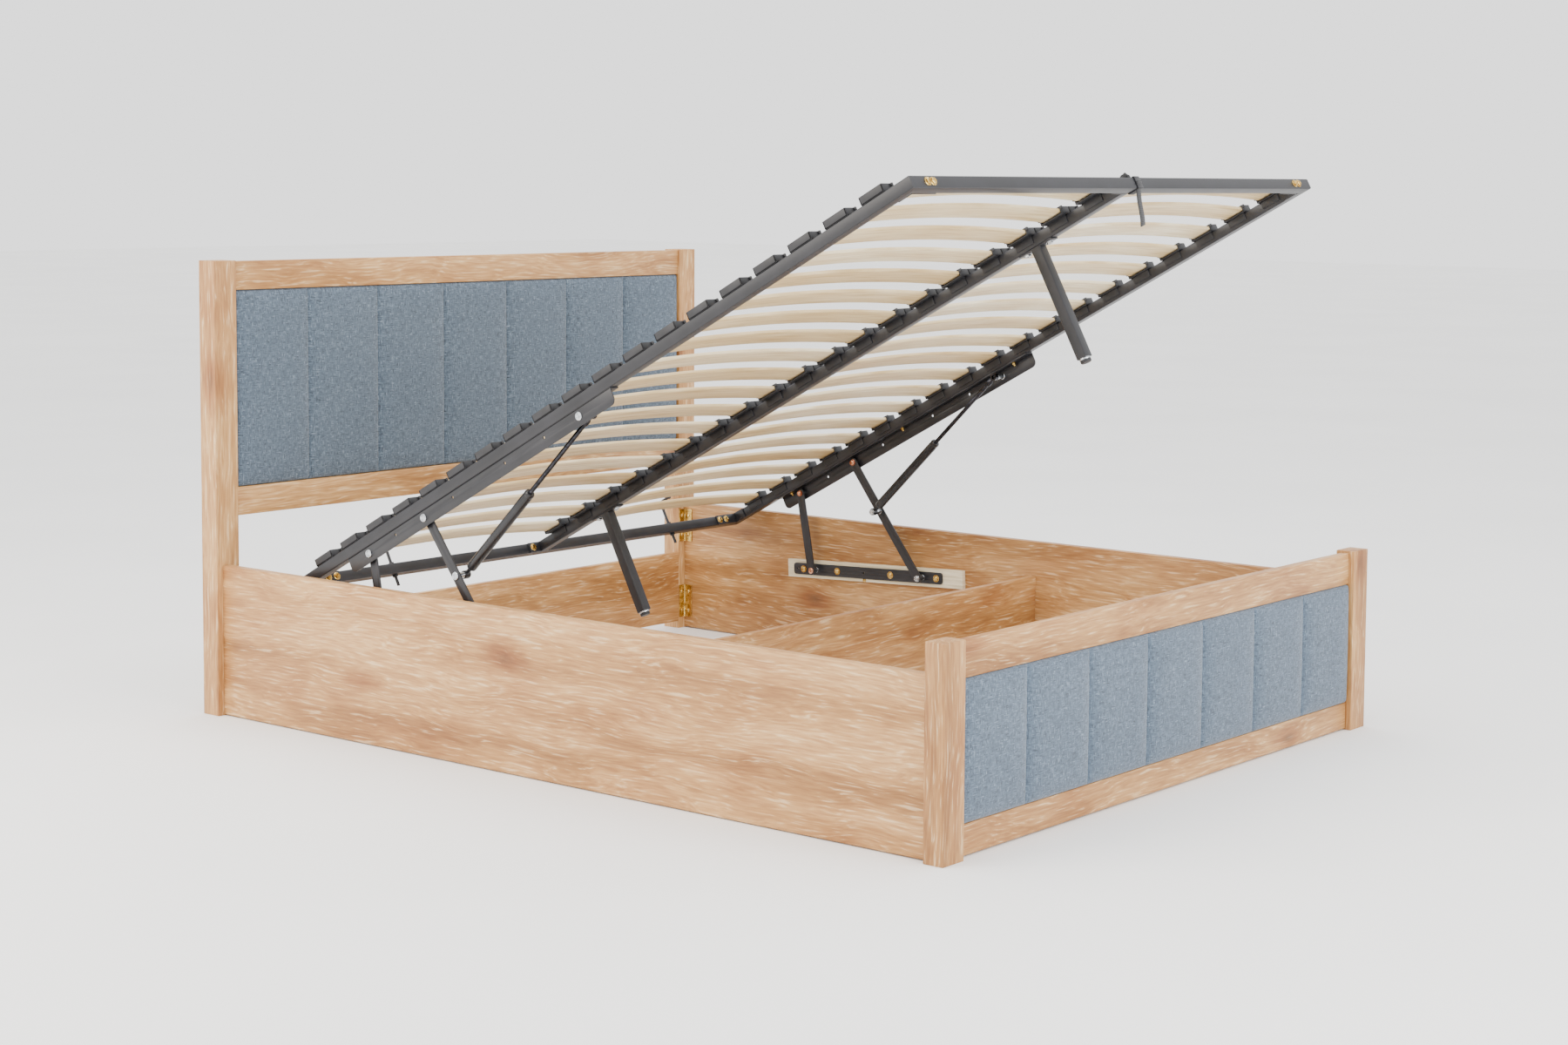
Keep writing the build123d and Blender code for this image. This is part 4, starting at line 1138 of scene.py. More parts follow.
@dataclass
class Mechanism:
    """Packer, bar, links and gas strut on one side, as places in the YZ plane."""

    side: Side
    rear: Pair = (523.0, 209.0)
    front: Pair = (172.0, 224.0)
    upper_front: Pair = (385.245, 504.301)
    upper_rear: Pair = (561.67, 410.098)
    strut_low: Pair = (295.682, 386.575)
    strut_high: Pair = (-79.636, 752.524)
    board_inner: float = 762.0
    bar_face: float = 750.0
    bar_inner: float = 745.0
    link_outer: float = 727.5
    link_inner: float = 723.5
    strut_x: float = 699.5
    link_width: float = 24.0
    bore: float = 4.08
    play: float = 0.3
    pin_collar: float = 2.5
    eye_half: float = 6.0
    eye_radius: float = 9.0
    bar_reach: Pair = (76.0, 62.0)
    bar_height: float = 30.0
    bar_corner: float = 7.0
    packer_reach: Pair = (100.0, 124.0)
    packer_height: float = 47.0
    packer_screw: Pair = (158.0, 19.0)
    bar_screws: tuple[float, ...] = (-42.0, 72.0, 248.0, 396.0)
    spare_holes: tuple[float, ...] = (-62.0, 160.0, 330.0)

    @property
    def inward(self) -> Point:
        """The way from this side to the middle of the bed."""
        return (-self.side.value, 0, 0)

    def along_bar(self, distance: float, off: float = 0.0) -> Pair:
        """Place on the line of the lower pivots, from the rear one towards the foot end."""
        heading = math.atan2(self.front[1] - self.rear[1], self.front[0] - self.rear[0])
        c, s = math.cos(heading), math.sin(heading)
        return (self.rear[0] + distance * c - off * s, self.rear[1] + distance * s + off * c)

    def at(self, x: float, place: Pair) -> Point:
        """A point on this side of the bed."""
        return (self.side.value * x, *place)

    def span(self, a: float, b: float) -> Pair:
        """Two X values on this side of the bed."""
        return (self.side.value * a, self.side.value * b)

    def body(self, stem: str) -> str:
        """Name of a moving body on this side."""
        return f"{stem}_{self.side.word}"

    def strip(self, reach: Pair, height: float, corner: float, steps: int = 4) -> list[Pair]:
        """Outline of a strip that reaches past the rear and the front pivot on their line."""
        before, after = reach[0], math.dist(self.rear, self.front) + reach[1]
        outline = rounded_outline(before + after, height, corner, steps)
        return [self.along_bar(a + (after - before) / 2, b) for a, b in outline]

    def fixed(self, name: str, part: Part, material: bpy.types.Material, node: str) -> None:
        """Make a piece of the fixed frame on this side, in place of this side's CAD node."""
        word = self.side.word
        finished(f"{name}_{word}", mesh_from([part]), material, "bed_frame", [f"{node}_{word}"])

    def screws(
        self, name: str, kind: Fastener, spots: list[Point], material: bpy.types.Material, slot: str
    ) -> FastenerSet:
        """Fasteners on the fixed frame that point inwards."""
        aimed = [(spot, self.inward) for spot in spots]
        return FastenerSet(f"{name}_{self.side.word}", kind, aimed, material, "bed_frame", slot)

    def build(self, palette: Palette, tree: Tree) -> None:
        """Build this side of the mechanism."""
        outline = self.strip(self.packer_reach, self.packer_height, 0.6, 1)
        packer = plate(outline, [], self.span(self.bar_face, self.board_inner), 0.4)
        self.fixed("plywood_packer", packer, palette.plywood, "spacer_board")
        holes = [circle(*self.along_bar(d), 2.6, 12) for d in self.spare_holes]
        outline = self.strip(self.bar_reach, self.bar_height, self.bar_corner)
        bar = plate(outline, holes, self.span(self.bar_inner, self.bar_face), 0.7)
        self.fixed("pivot_bar", bar, palette.coat, "base_bar")
        spots = [self.at(self.bar_inner, self.along_bar(d)) for d in self.bar_screws]
        screws = self.screws("bar_screws", Fastener.WASHER_SCREW, spots, palette.yellow, "yellow_zinc")
        if self.side is Side.RIGHT:
            screws.stands_for = ("base_bar_bolts",)
        screws.build(tree)
        spots = [self.at(self.bar_face, self.along_bar(*self.packer_screw))]
        self.screws("packer_screw", Fastener.CROSS_SCREW, spots, palette.yellow, "yellow_zinc").build(tree)
        self.build_links(palette, tree)
        self.build_strut(palette)

    def build_links(self, palette: Palette, tree: Tree) -> None:
        """Build the two links with their pins."""
        word, inward = self.side.word, self.inward
        faces = self.span(self.link_inner, self.link_outer)
        ends = {"front_link": (self.front, self.upper_front), "rear_link": (self.rear, self.upper_rear)}
        for stem, (low, high) in ends.items():
            outline = link_outline(low, high, self.link_width)
            strip = mesh_from([plate(outline, [circle(*low, self.bore), circle(*high, self.bore)], faces, 0.7)])
            name = f"{stem}_bar_{word}"
            finished(name, strip, palette.coat, self.body(stem), [f"{stem}_{word}"])
        gap = self.bar_inner - self.link_outer - self.play
        flange = [(7.4, 0), (7.4, 0.6), (7, 1)]
        seat = self.at(self.bar_inner, self.front), self.at(self.bar_inner, self.rear)
        parts = [
            turned([*flange, (7, gap)], seat[0], inward),
            turned([(4, 0), (4, 4.6)], self.at(self.link_outer + self.play, self.front), inward),
            turned([*flange, (7, gap - self.pin_collar)], seat[1], inward),
        ]
        mesh = mesh_from(parts)
        stands_for = ["base_pivot_studs"] if self.side is Side.RIGHT else []
        finished(f"lower_studs_{word}", mesh, palette.bright, "bed_frame", stands_for)
        spots = [self.at(self.link_inner - self.play, self.front)]
        self.screws("front_pivot_nut", Fastener.NYLOC_NUT, spots, palette.bright, "bright_zinc").build(tree)
        head = [(8.2, 0), (8.2, 1.2), (7, 2.4), (4.2, 3.2), (3.8, 2.6), (0.2, 2.6)]
        parts = [
            turned([(7.2, 0), (7.2, 2.5)], self.at(self.link_outer + self.pin_collar, self.rear), inward),
            turned([(4, 0), (4, 4.0)], self.at(self.link_outer, self.rear), inward),
            turned(head, self.at(self.link_inner, self.rear), inward),
        ]
        mesh, body = mesh_from(parts), self.body("rear_link")
        finished(f"rear_pin_{word}", mesh, palette.copper, body, [f"rear_link_pin_{word}"])
        self.build_strut_stud(palette)

    def build_strut_stud(self, palette: Palette) -> None:
        """Build the stud that carries the strut on the front link."""
        word, inward = self.side.word, self.inward
        outward = (self.side.value, 0, 0)
        low = self.strut_low
        eye_face = self.strut_x + self.eye_half
        washer_face = self.at(self.strut_x - self.eye_half - self.play, low)
        head = [(9, 0), (9, 2.4), (8, 3.2), (4.5, 3.2), (4.2, 2.6), (0.2, 2.6)]
        collar = [(8, 0), (8, 1.2), (7, 1.3), (7, self.link_inner - eye_face - self.play)]
        nut = [(6.8, 1), (6.8, 4.4), (6, 5.2), (4, 5.6), (3.8, 5), (0.2, 5)]
        parts = [
            turned(head, self.at(self.link_outer, low), outward),
            turned(collar, self.at(self.link_inner, low), inward),
            turned([(4, 0), (4, 12.6)], self.at(eye_face + self.play, low), inward),
            turned([(7.6, 0), (7.6, 1), (4, 1.1)], washer_face, inward),
            turned(nut, washer_face, inward, 6),
        ]
        mesh, body = mesh_from(parts), self.body("front_link")
        finished(f"strut_low_stud_{word}", mesh, palette.bright, body, [f"strut_lower_stud_{word}"])

    def eye(self, place: Vector, bore: float) -> Part:
        """A strut's eye round one of its studs."""
        outward = Vector((self.side.value, 0, 0))
        start = tuple(place - outward * self.eye_half)
        return ring_part(self.eye_radius, bore, start, tuple(outward), 2 * self.eye_half)

    def build_strut(self, palette: Palette) -> None:
        """Build the gas strut's tube with its lower eye, and the rod with its upper eye."""
        word = self.side.word
        low = Vector(self.at(self.strut_x, self.strut_low))
        high = Vector(self.at(self.strut_x, self.strut_high))
        length = (high - low).length
        start, way = tuple(low), tuple((high - low).normalized())
        tube = [(3.5, 22), (9.2, 23.4), (10.6, 25), (11, 27), (11, 262), (10.4, 264), (10.4, 266), (11, 268)]
        tube += [(11, 272), (9.6, 275.4), (7.4, 276), (5.2, 276)]
        neck = [(3.4, 7.5), (4.6, 11), (4.6, 19), (6.2, 20), (6.2, 24)]
        parts = [turned(tube, start, way, 36), self.eye(low, 4.1), turned(neck, start, way, 6)]
        mesh, body = mesh_from(parts), self.body("strut_cylinder")
        name = f"strut_tube_{word}"
        finished(name, mesh, palette.strut_coat, body, [f"strut_cylinder_{word}"])
        rod = [(5, 180), (5, length - 34), (4.2, length - 32), (4.2, length - 26)]
        collar = [(5.5, -30), (7.0, -28), (7.0, -17), (5.0, -12), (5.0, -6)]
        parts = [turned(rod, start, way, 24), turned([(r, length + d) for r, d in collar], start, way, 20)]
        parts.append(self.eye(high, 4.6))
        mesh, body = mesh_from(parts), self.body("strut_rod")
        finished(f"strut_rod_{word}_shaft", mesh, palette.rod, body, [f"strut_rod_{word}"])


# The lifting base


@dataclass
class BaseFrame:
    """Welded and bolted tubes of the lifting base, drawn level and then lifted."""

    outer: float = 736.5
    length: float = 1953.0
    tube: float = 25.0
    corner: float = 2.6
    angle: float = 3.0
    angle_leg: float = 74.0
    angle_short: float = 36.0
    centre_tab: float = 48.0
    foot_bolts: Pair = (50.5, 66.5)
    head_bolts: Pair = (64.5, 88.5)
    retainer_x: float = 470.0
    legs: Pair = (267.5, 1685.5)
    leg_bottom: float = -284.0

    def section(self) -> list[Pair]:
        """The tube's outline, with its top at zero."""
        return [(a, b - self.tube / 2) for a, b in rounded_outline(self.tube, self.tube, self.corner, 3)]

    def rail(self, name: str, parts: list[Part], node: str, palette: Palette) -> None:
        """Lift a rail's parts and dress them in powder coat."""
        finished(name, mesh_from(parts, LIFTED), palette.coat, "lifting_base", [node])

    def side_rail(self, side: Side, palette: Palette) -> None:
        """Build a side tube with mitred ends and its corner angles."""
        k = side.value
        sections = []
        for end in (0, 1):
            ring = []
            for a, b in self.section():
                inset = a + self.tube / 2
                y = inset if end == 0 else self.length - inset
                ring.append((k * (self.outer - inset), y, b))
            sections.append(ring)
        parts = [loft(sections)]
        x1 = self.outer - self.tube
        for face, way in ((self.tube, 1), (self.length - self.tube, -1)):
            for reach, depth in ((self.angle_leg, self.angle), (self.angle, self.angle_short)):
                parts.append(block((k * x1, k * (x1 - reach)), (face, face + way * depth), (-self.tube, 0), 0.8))
        self.rail(f"side_tube_{side.word}", parts, f"base_side_rail_{side.word}", palette)

    def end_rail(self, name: str, node: str, outer_y: float, way: int, palette: Palette) -> None:
        """Build an end tube, mitred into the side tubes."""
        sections = []
        for k in (-1, 1):
            ring = []
            for a, b in self.section():
                inset = a + self.tube / 2
                ring.append((k * (self.outer - inset), outer_y + way * inset, b))
            sections.append(ring)
        self.rail(name, [loft(sections)], node, palette)

    def centre_rail(self, palette: Palette) -> None:
        """Build the centre tube with its bolt plates."""
        start, end = self.tube + self.angle, self.length - self.tube - self.angle
        parts = [loft([[(a, y, b) for a, b in self.section()] for y in (start, end)])]
        for y in (self.tube, end):
            parts.append(block((-self.centre_tab, self.tube / 2), (y, y + self.angle), (-self.tube, 0), 0.8))
        self.rail("centre_tube", parts, "base_centre_rail", palette)

    def support_legs(self, palette: Palette, tree: Tree) -> None:
        """Build the legs under the centre tube with plates, bolts and glides."""
        parts, rings, glides, spots = [], [], [], []
        top = -self.tube - self.angle
        half = self.tube / 2
        for y in self.legs:
            parts.append(block((-half, half), (y - 46, y + 46), (top, -self.tube), 0.8))
            outline = rounded_outline(self.tube, self.tube, self.corner, 3)
            parts.append(loft([[(a, y + b, z) for a, b in outline] for z in (self.leg_bottom + 1.5, top)]))
            ring = [(12.2, 0), (12.4, 1), (12.4, 3.2), (12.2, 4)]
            rings.append(turned(ring, (0, y, self.leg_bottom + 1.5), (0, 0, -1)))
            profile = [(11.4, 2.4), (12, 3), (12, 7.4), (10.6, 9), (0.2, 9)]
            glides.append(turned(profile, (0, y, self.leg_bottom), (0, 0, -1)))
            spots += [((0, y + o, top), (0, 0, -1)) for o in (-31, 31)]
        self.rail("support_leg_tubes", parts, "support_legs", palette)
        finished("leg_rings", mesh_from(rings, LIFTED), palette.bright, "lifting_base")
        mesh = mesh_from(glides, LIFTED)
        finished("leg_glides", mesh, palette.plastic, "lifting_base", ["support_leg_glides"])
        kind = Fastener.FLANGE_BOLT
        bolts = FastenerSet("leg_bolts", kind, spots, palette.bright, "lifting_base", "bright_zinc")
        bolts.stands_for, bolts.place = ("support_leg_bolts",), LIFTED
        bolts.build(tree)

    def frame_bolts(self, palette: Palette, tree: Tree) -> None:
        """Place the bolts of the corners and of the centre tube."""
        middle = -self.tube / 2
        reach = self.tube + self.angle
        spots = []
        for inset in self.foot_bolts:
            x = self.outer - inset
            spots += [((x, 0, middle), (0, -1, 0)), ((x, reach, middle), (0, 1, 0))]
        for inset in self.head_bolts:
            x = self.outer - inset
            spots += [((x, self.length, middle), (0, 1, 0)), ((x, self.length - reach, middle), (0, -1, 0))]
        both = [(p, d) for place, d in spots for p in mirrored([place])]
        both += [((-35, reach, middle), (0, 1, 0)), ((-35, self.length - reach, middle), (0, -1, 0))]
        kind = Fastener.FLANGE_BOLT
        bolts = FastenerSet("frame_bolts", kind, both, palette.yellow, "lifting_base", "yellow_zinc")
        bolts.stands_for, bolts.place = ("base_frame_bolts",), LIFTED
        bolts.build(tree)

    def retainers(self, palette: Palette) -> None:
        """Build the two bent mattress retainer rods with their nuts."""
        y = self.length - self.tube / 2
        parts = []
        for k in (1, -1):
            x = k * self.retainer_x
            path = smooth_path([(x, y, -52), (x, y, 63), (x, y - 34, 63)], 11.0)
            parts.append(swept(path, circle(0, 0, 3.5, 14), Vector((1, 0, 0))))
            nut = [(6.8, 0), (6.8, 4.2), (6, 5), (3.6, 5)]
            parts.append(turned(nut, (x, y, 0), (0, 0, 1), 6))
            parts.append(turned(nut, (x, y, -self.tube), (0, 0, -1), 6))
            parts.append(turned([(3.5, 0), (5, 0.4), (5, 3), (3.5, 3.4)], (x, y - 33, 63), (0, -1, 0), 14))
        self.rail("retainer_rods", parts, "mattress_retainers", palette)

    def build(self, palette: Palette, tree: Tree) -> None:
        """Build the frame of the lifting base."""
        for side in Side:
            self.side_rail(side, palette)
        self.end_rail("foot_tube", "base_foot_rail", 0.0, 1, palette)
        self.end_rail("head_tube", "base_head_rail", self.length, -1, palette)
        self.centre_rail(palette)
        self.support_legs(palette, tree)
        self.frame_bolts(palette, tree)
        self.retainers(palette)


@dataclass
class UnderBrackets:
    """Steel angles under the side tubes that carry the upper pivots."""

    start: float = 866.0
    end: float = 1769.0
    top: float = -25.0
    bottom: float = -60.0
    faces: Pair = (733.5, 736.5)
    tube_inner: float = 711.5
    corner: float = 14.0
    pivots: tuple[float, float, float] = (972.0, 1499.0, 1699.0)
    pivot_drop: float = -41.0
    bolts: tuple[float, float, float] = (920.0, 1310.0, 1724.0)
    spare_holes: tuple[float, ...] = (1085.0, 1215.0, 1395.0, 1600.0)
    flange: float = 3.0
    link_face: float = 727.8
    nut_face: float = 723.2
    shoulder: tuple[Pair, ...] = ((7.6, 0), (7.6, 0.8), (7, 1), (7, 5.7))
    strut_collar: tuple[Pair, ...] = ((8, 0), (8, 1.5), (7, 2), (7, 25), (5, 27.4), (5, 27.7))

    def outline(self) -> list[Pair]:
        """The plate's outline, rounded at its two lower corners."""
        points = [(self.end, self.top), (self.start, self.top)]
        for cy, turn in ((self.start + self.corner, 180), (self.end - self.corner, 270)):
            for k in range(9):
                angle = math.radians(turn + 90 * k / 8)
                rise = self.corner * (1 + math.sin(angle))
                points.append((cy + self.corner * math.cos(angle), self.bottom + rise))
        return points

    def build(self, palette: Palette, tree: Tree) -> None:
        """Build both angles, their bolts and the pivots."""
        for side in Side:
            k = side.value
            holes = [circle(y, self.pivot_drop + 3, 3.0, 16) for y in self.spare_holes]
            parts = [plate(self.outline(), holes, (k * self.faces[0], k * self.faces[1]), 0.6)]
            across = (k * self.tube_inner, k * self.faces[1])
            parts.append(block(across, (self.start, self.end), (self.top - self.flange, self.top), 0.8))
            mesh, node = mesh_from(parts, LIFTED), f"lift_bracket_{side.word}"
            finished(f"under_bracket_{side.word}", mesh, palette.coat, "lifting_base", [node])
        middle, under = (self.tube_inner + self.faces[1]) / 2, self.top - self.flange
        spots = [(p, (0, 0, -1)) for y in self.bolts for p in mirrored([(middle, y, under)])]
        kind = Fastener.T_BOLT
        bolts = FastenerSet("bracket_bolts", kind, spots, palette.yellow, "lifting_base", "yellow_zinc")
        bolts.stands_for, bolts.place = ("lift_bracket_bolts",), LIFTED
        bolts.build(tree)
        self.build_pivots(palette, tree)

    def build_pivots(self, palette: Palette, tree: Tree) -> None:
        """Build the upper studs of links and struts with their heads and nuts."""
        z = self.pivot_drop
        studs, heads, nuts = [], [], []
        for k in (1, -1):
            for y in self.pivots[1:]:
                studs.append(turned(self.shoulder, (k * self.faces[0], y, z), (-k, 0, 0)))
                studs.append(turned([(4, 0), (4, 4.6)], (k * self.link_face, y, z), (-k, 0, 0)))
                nuts.append(((k * self.nut_face, y, z), (-k, 0, 0)))
            y = self.pivots[0]
            studs.append(turned(self.strut_collar, (k * self.faces[0], y, z), (-k, 0, 0)))
            heads += [((k * self.faces[1], y, z), (k, 0, 0)) for y in self.pivots]
        mesh = mesh_from(studs, LIFTED)
        finished("upper_studs", mesh, palette.bright, "lifting_base", ["base_pivot_bolts"])
        for name, kind, spots, material, nodes in (
            ("upper_pivot_heads", Fastener.PIVOT_RIVET, heads, palette.bright, ("strut_upper_studs",)),
            ("upper_pivot_nuts", Fastener.NYLOC_NUT, nuts, palette.copper, ()),
        ):
            FastenerSet(name, kind, spots, material, "lifting_base", "bright_zinc", nodes, LIFTED).build(tree)


@dataclass
class SlatRow:
    """One column of bowed slats, grown by Geometry Nodes from the slat's sizes."""

    count: int = 19
    first: float = 94.0
    last_inset: float = 107.6
    base_length: float = 1953.0
    width: float = 53.0
    thickness: float = 8.0
    rise: float = 17.0
    seat: float = 3.6
    inner: float = 1.55
    outer: float = 733.7

    @property
    def pitch(self) -> float:
        """Distance from slat to slat."""
        return (self.base_length - self.first - self.last_inset) / (self.count - 1)

    def tree(self) -> Tree:
        """Nodes that bow one slat, round its edges and repeat it along the base."""
        tree = bpy.data.node_groups.new("slat_row", "GeometryNodeTree")
        tree.interface.new_socket("Start", in_out="INPUT", socket_type="NodeSocketGeometry")
        for name in ("First", "Pitch", "Width", "Thickness", "Rise", "Span", "Seat", "Middle"):
            tree.interface.new_socket(name, in_out="INPUT", socket_type="NodeSocketFloat")
        tree.interface.new_socket("Count", in_out="INPUT", socket_type="NodeSocketInt")
        tree.interface.new_socket("Seed", in_out="INPUT", socket_type="NodeSocketInt")
        tree.interface.new_socket("Finish", in_out="INPUT", socket_type="NodeSocketMaterial")
        tree.interface.new_socket("Slats", in_out="OUTPUT", socket_type="NodeSocketGeometry")
        given = add(tree, "NodeGroupInput").outputs
        half = add(tree, "ShaderNodeMath", {0: given["Span"], 1: 0.5}, operation="MULTIPLY").outputs[0]
        less = add(tree, "ShaderNodeMath", {0: half, 1: -1.0}, operation="MULTIPLY").outputs[0]
        starts = add(tree, "ShaderNodeCombineXYZ", {"X": less}).outputs[0]
        ends = add(tree, "ShaderNodeCombineXYZ", {"X": half}).outputs[0]
        line = add(tree, "GeometryNodeCurvePrimitiveLine", {"Start": starts, "End": ends}).outputs["Curve"]
        line = add(tree, "GeometryNodeResampleCurve", {"Curve": line, "Count": 17}).outputs["Curve"]
        x = add(tree, "ShaderNodeSeparateXYZ", {0: add(tree, "GeometryNodeInputPosition").outputs[0]}).outputs["X"]
        share = add(tree, "ShaderNodeMath", {0: x, 1: half}, operation="DIVIDE").outputs[0]
        square = add(tree, "ShaderNodeMath", {0: share, 1: share}, operation="MULTIPLY").outputs[0]
        left = add(tree, "ShaderNodeMath", {0: 1.0, 1: square}, operation="SUBTRACT").outputs[0]
        lift = add(tree, "ShaderNodeMath", {0: left, 1: given["Rise"]}, operation="MULTIPLY").outputs[0]
        offset = add(tree, "ShaderNodeCombineXYZ", {"Z": lift}).outputs[0]
        bow = add(tree, "GeometryNodeSetPosition", {"Geometry": line, "Offset": offset}).outputs[0]
        bow = add(tree, "GeometryNodeSetCurveNormal", {"Curve": bow}, mode="Z_UP").outputs[0]
        sizes = {"Width": given["Width"], "Height": given["Thickness"]}
        profile = add(tree, "GeometryNodeCurvePrimitiveQuadrilateral", sizes).outputs["Curve"]
        inputs = {"Curve": profile, "Radius": 2.6 * MM, "Count": 3, "Limit Radius": True}
        profile = add(tree, "GeometryNodeFilletCurve", inputs, mode="POLY").outputs["Curve"]
        inputs = {"Curve": bow, "Profile Curve": profile, "Fill Caps": True}
        slat = add(tree, "GeometryNodeCurveToMesh", inputs).outputs["Mesh"]
        inputs = {"Geometry": slat, "Name": "grain", "Value": add(tree, "GeometryNodeInputPosition").outputs[0]}
        slat = add(tree, "GeometryNodeStoreNamedAttribute", inputs, data_type="FLOAT_VECTOR").outputs[0]
        inputs = {0: given["Thickness"], 1: 0.5, 2: given["Seat"]}
        height = add(tree, "ShaderNodeMath", inputs, operation="MULTIPLY_ADD").outputs[0]
        places = {"X": given["Middle"], "Y": given["First"], "Z": height}
        begin = add(tree, "ShaderNodeCombineXYZ", places).outputs[0]
        step = add(tree, "ShaderNodeCombineXYZ", {"Y": given["Pitch"]}).outputs[0]
        inputs = {"Count": given["Count"], "Start Location": begin, "Offset": step}
        row = add(tree, "GeometryNodeMeshLine", inputs).outputs["Mesh"]
        placed = add(tree, "GeometryNodeInstanceOnPoints", {"Points": row, "Instance": slat}).outputs[0]
        chance = add(tree, "FunctionNodeRandomValue", {"Seed": given["Seed"]}, data_type="FLOAT").outputs[1]
        inputs = {"Geometry": placed, "Name": "slat_tint", "Value": chance}
        placed = add(tree, "GeometryNodeStoreNamedAttribute", inputs, data_type="FLOAT", domain="INSTANCE").outputs[0]
        real = add(tree, "GeometryNodeRealizeInstances", {"Geometry": placed}).outputs[0]
        done = add(tree, "GeometryNodeSetMaterial", {"Geometry": real, "Material": given["Finish"]}).outputs[0]
        add(tree, "NodeGroupOutput", {"Slats": done})
        return tree

    def build(self, palette: Palette) -> None:
        """Build both columns."""
        tree = self.tree()
        for side in Side:
            values = {
                "First": self.first * MM,
                "Pitch": self.pitch * MM,
                "Width": self.width * MM,
                "Thickness": self.thickness * MM,
                "Rise": self.rise * MM,
                "Span": (self.outer - self.inner) * MM,
                "Seat": self.seat * MM,
                "Middle": side.value * (self.outer + self.inner) / 2 * MM,
                "Count": self.count,
                "Seed": 7 + side.value,
                "Finish": palette.birch,
            }
            mesh = grown(tree, bpy.data.meshes.new("start"), values)
            work = bmesh.new()
            work.from_mesh(mesh)
            bmesh.ops.remove_doubles(work, verts=work.verts, dist=1e-6)
            bmesh.ops.recalc_face_normals(work, faces=work.faces)
            work.transform(LIFTED)
            work.to_mesh(mesh)
            work.free()
            node = f"slats_{side.word}"
            finished(f"{node}_birch", mesh, palette.birch, "lifting_base", [node])


@dataclass
class SlatHolders:
    """Moulded holders at the ends of the slats, repeated by Geometry Nodes."""

    row: SlatRow
    outer: float = 736.5
    length: float = 60.0
    height: float = 17.0
    reach: float = 32.0
    wall: float = 2.5
    # how far the black painted-shadow strips hang down the tube faces
    skirt: float = 17.0
    ear: float = 4.0

    def shell(self, inner: float, outer: float) -> list[Part]:
        """One pocket, open at its inner end, with a roof and ears.

        Args:
            inner: X of the open end.
            outer: X of the closed end.

        Returns:
            The parts.
        """
        half = self.length / 2
        way = 1 if outer > inner else -1
        room = self.row.width / 2 + 0.3
        low = self.row.seat - 0.3
        roof = self.height - 1.6
        back = outer - way * self.wall
        parts = [
            block((inner, outer), (-half, half), (0, low), 0.8),
            block((inner, outer), (-half, half), (roof, self.height), 0.7),
            block((inner, outer), (-half, -room), (0, self.height), 0.9),
            block((inner, outer), (room, half), (0, self.height), 0.9),
            block((back, outer), (-half, half), (0, self.height), 0.9),
        ]
        for k in (1, -1):
            along = (k * (half - 1), k * (half + self.ear))
            parts.append(block((inner, inner + way * 5), along, (self.height * 0.55, self.height), 0.9))
        return parts

    def side_part(self) -> bpy.types.Mesh:
        """The holder on a side tube at +X, with a black strip down the tube's inner face as painted shadow."""
        parts = self.shell(self.outer - self.reach, self.outer)
        edge = self.outer - 25.0
        # painted shadow: a black strip down the tube's inner face where the slat and its holder cast their shadow
        parts.append(block((edge - self.wall, edge), (-24, 24), (-self.skirt, 1), 0.9))
        return mesh_from(parts)

    def centre_part(self) -> bpy.types.Mesh:
        """The double holder on the centre tube, with a black strip down each side of it as painted shadow."""
        parts = []
        for k in (1, -1):
            parts += self.shell(k * self.reach, k * self.wall / 4)
            # painted shadow: a black strip down each side of the centre tube where the slats and holders cast their
            # shadow
            parts.append(block((k * 12.5, k * (12.5 + self.wall)), (-24, 24), (-self.skirt, 1), 0.9))
        return mesh_from(parts)

    def tree(self) -> Tree:
        """Nodes that repeat a holder along the base."""
        tree = bpy.data.node_groups.new("holders", "GeometryNodeTree")
        sockets = {"Start": "Geometry", "Holder": "Object", "Count": "Int", "First": "Float", "Pitch": "Float"}
        for name, kind in {**sockets, "Finish": "Material"}.items():
            tree.interface.new_socket(name, in_out="INPUT", socket_type=f"NodeSocket{kind}")
        tree.interface.new_socket("Holders", in_out="OUTPUT", socket_type="NodeSocketGeometry")
        given = add(tree, "NodeGroupInput").outputs
        begin = add(tree, "ShaderNodeCombineXYZ", {"Y": given["First"]}).outputs[0]
        step = add(tree, "ShaderNodeCombineXYZ", {"Y": given["Pitch"]}).outputs[0]
        inputs = {"Count": given["Count"], "Start Location": begin, "Offset": step}
        row = add(tree, "GeometryNodeMeshLine", inputs).outputs["Mesh"]
        part = add(tree, "GeometryNodeObjectInfo", {"Object": given["Holder"]}).outputs["Geometry"]
        placed = add(tree, "GeometryNodeInstanceOnPoints", {"Points": row, "Instance": part}).outputs[0]
        real = add(tree, "GeometryNodeRealizeInstances", {"Geometry": placed}).outputs[0]
        done = add(tree, "GeometryNodeSetMaterial", {"Geometry": real, "Material": given["Finish"]}).outputs[0]
        add(tree, "NodeGroupOutput", {"Holders": done})
        return tree

    def build(self, palette: Palette) -> None:
        """Build the three rows of holders."""
        tree = self.tree()
        side_mesh = self.side_part()
        turned_mesh = side_mesh.copy()
        turned_mesh.transform(Matrix.Rotation(math.pi, 4, "Z"))
        rows = (("right", side_mesh), ("left", turned_mesh), ("centre", self.centre_part()))
        for word, part in rows:
            values = {
                "Holder": bpy.data.objects.new("holder", part),
                "Count": self.row.count,
                "First": self.row.first * MM,
                "Pitch": self.row.pitch * MM,
                "Finish": palette.plastic,
            }
            mesh = grown(tree, bpy.data.meshes.new("start"), values)
            mesh.transform(LIFTED)
            node = f"slat_caps_{word}"
            finished(f"slat_holders_{word}", mesh, palette.plastic, "lifting_base", [node])


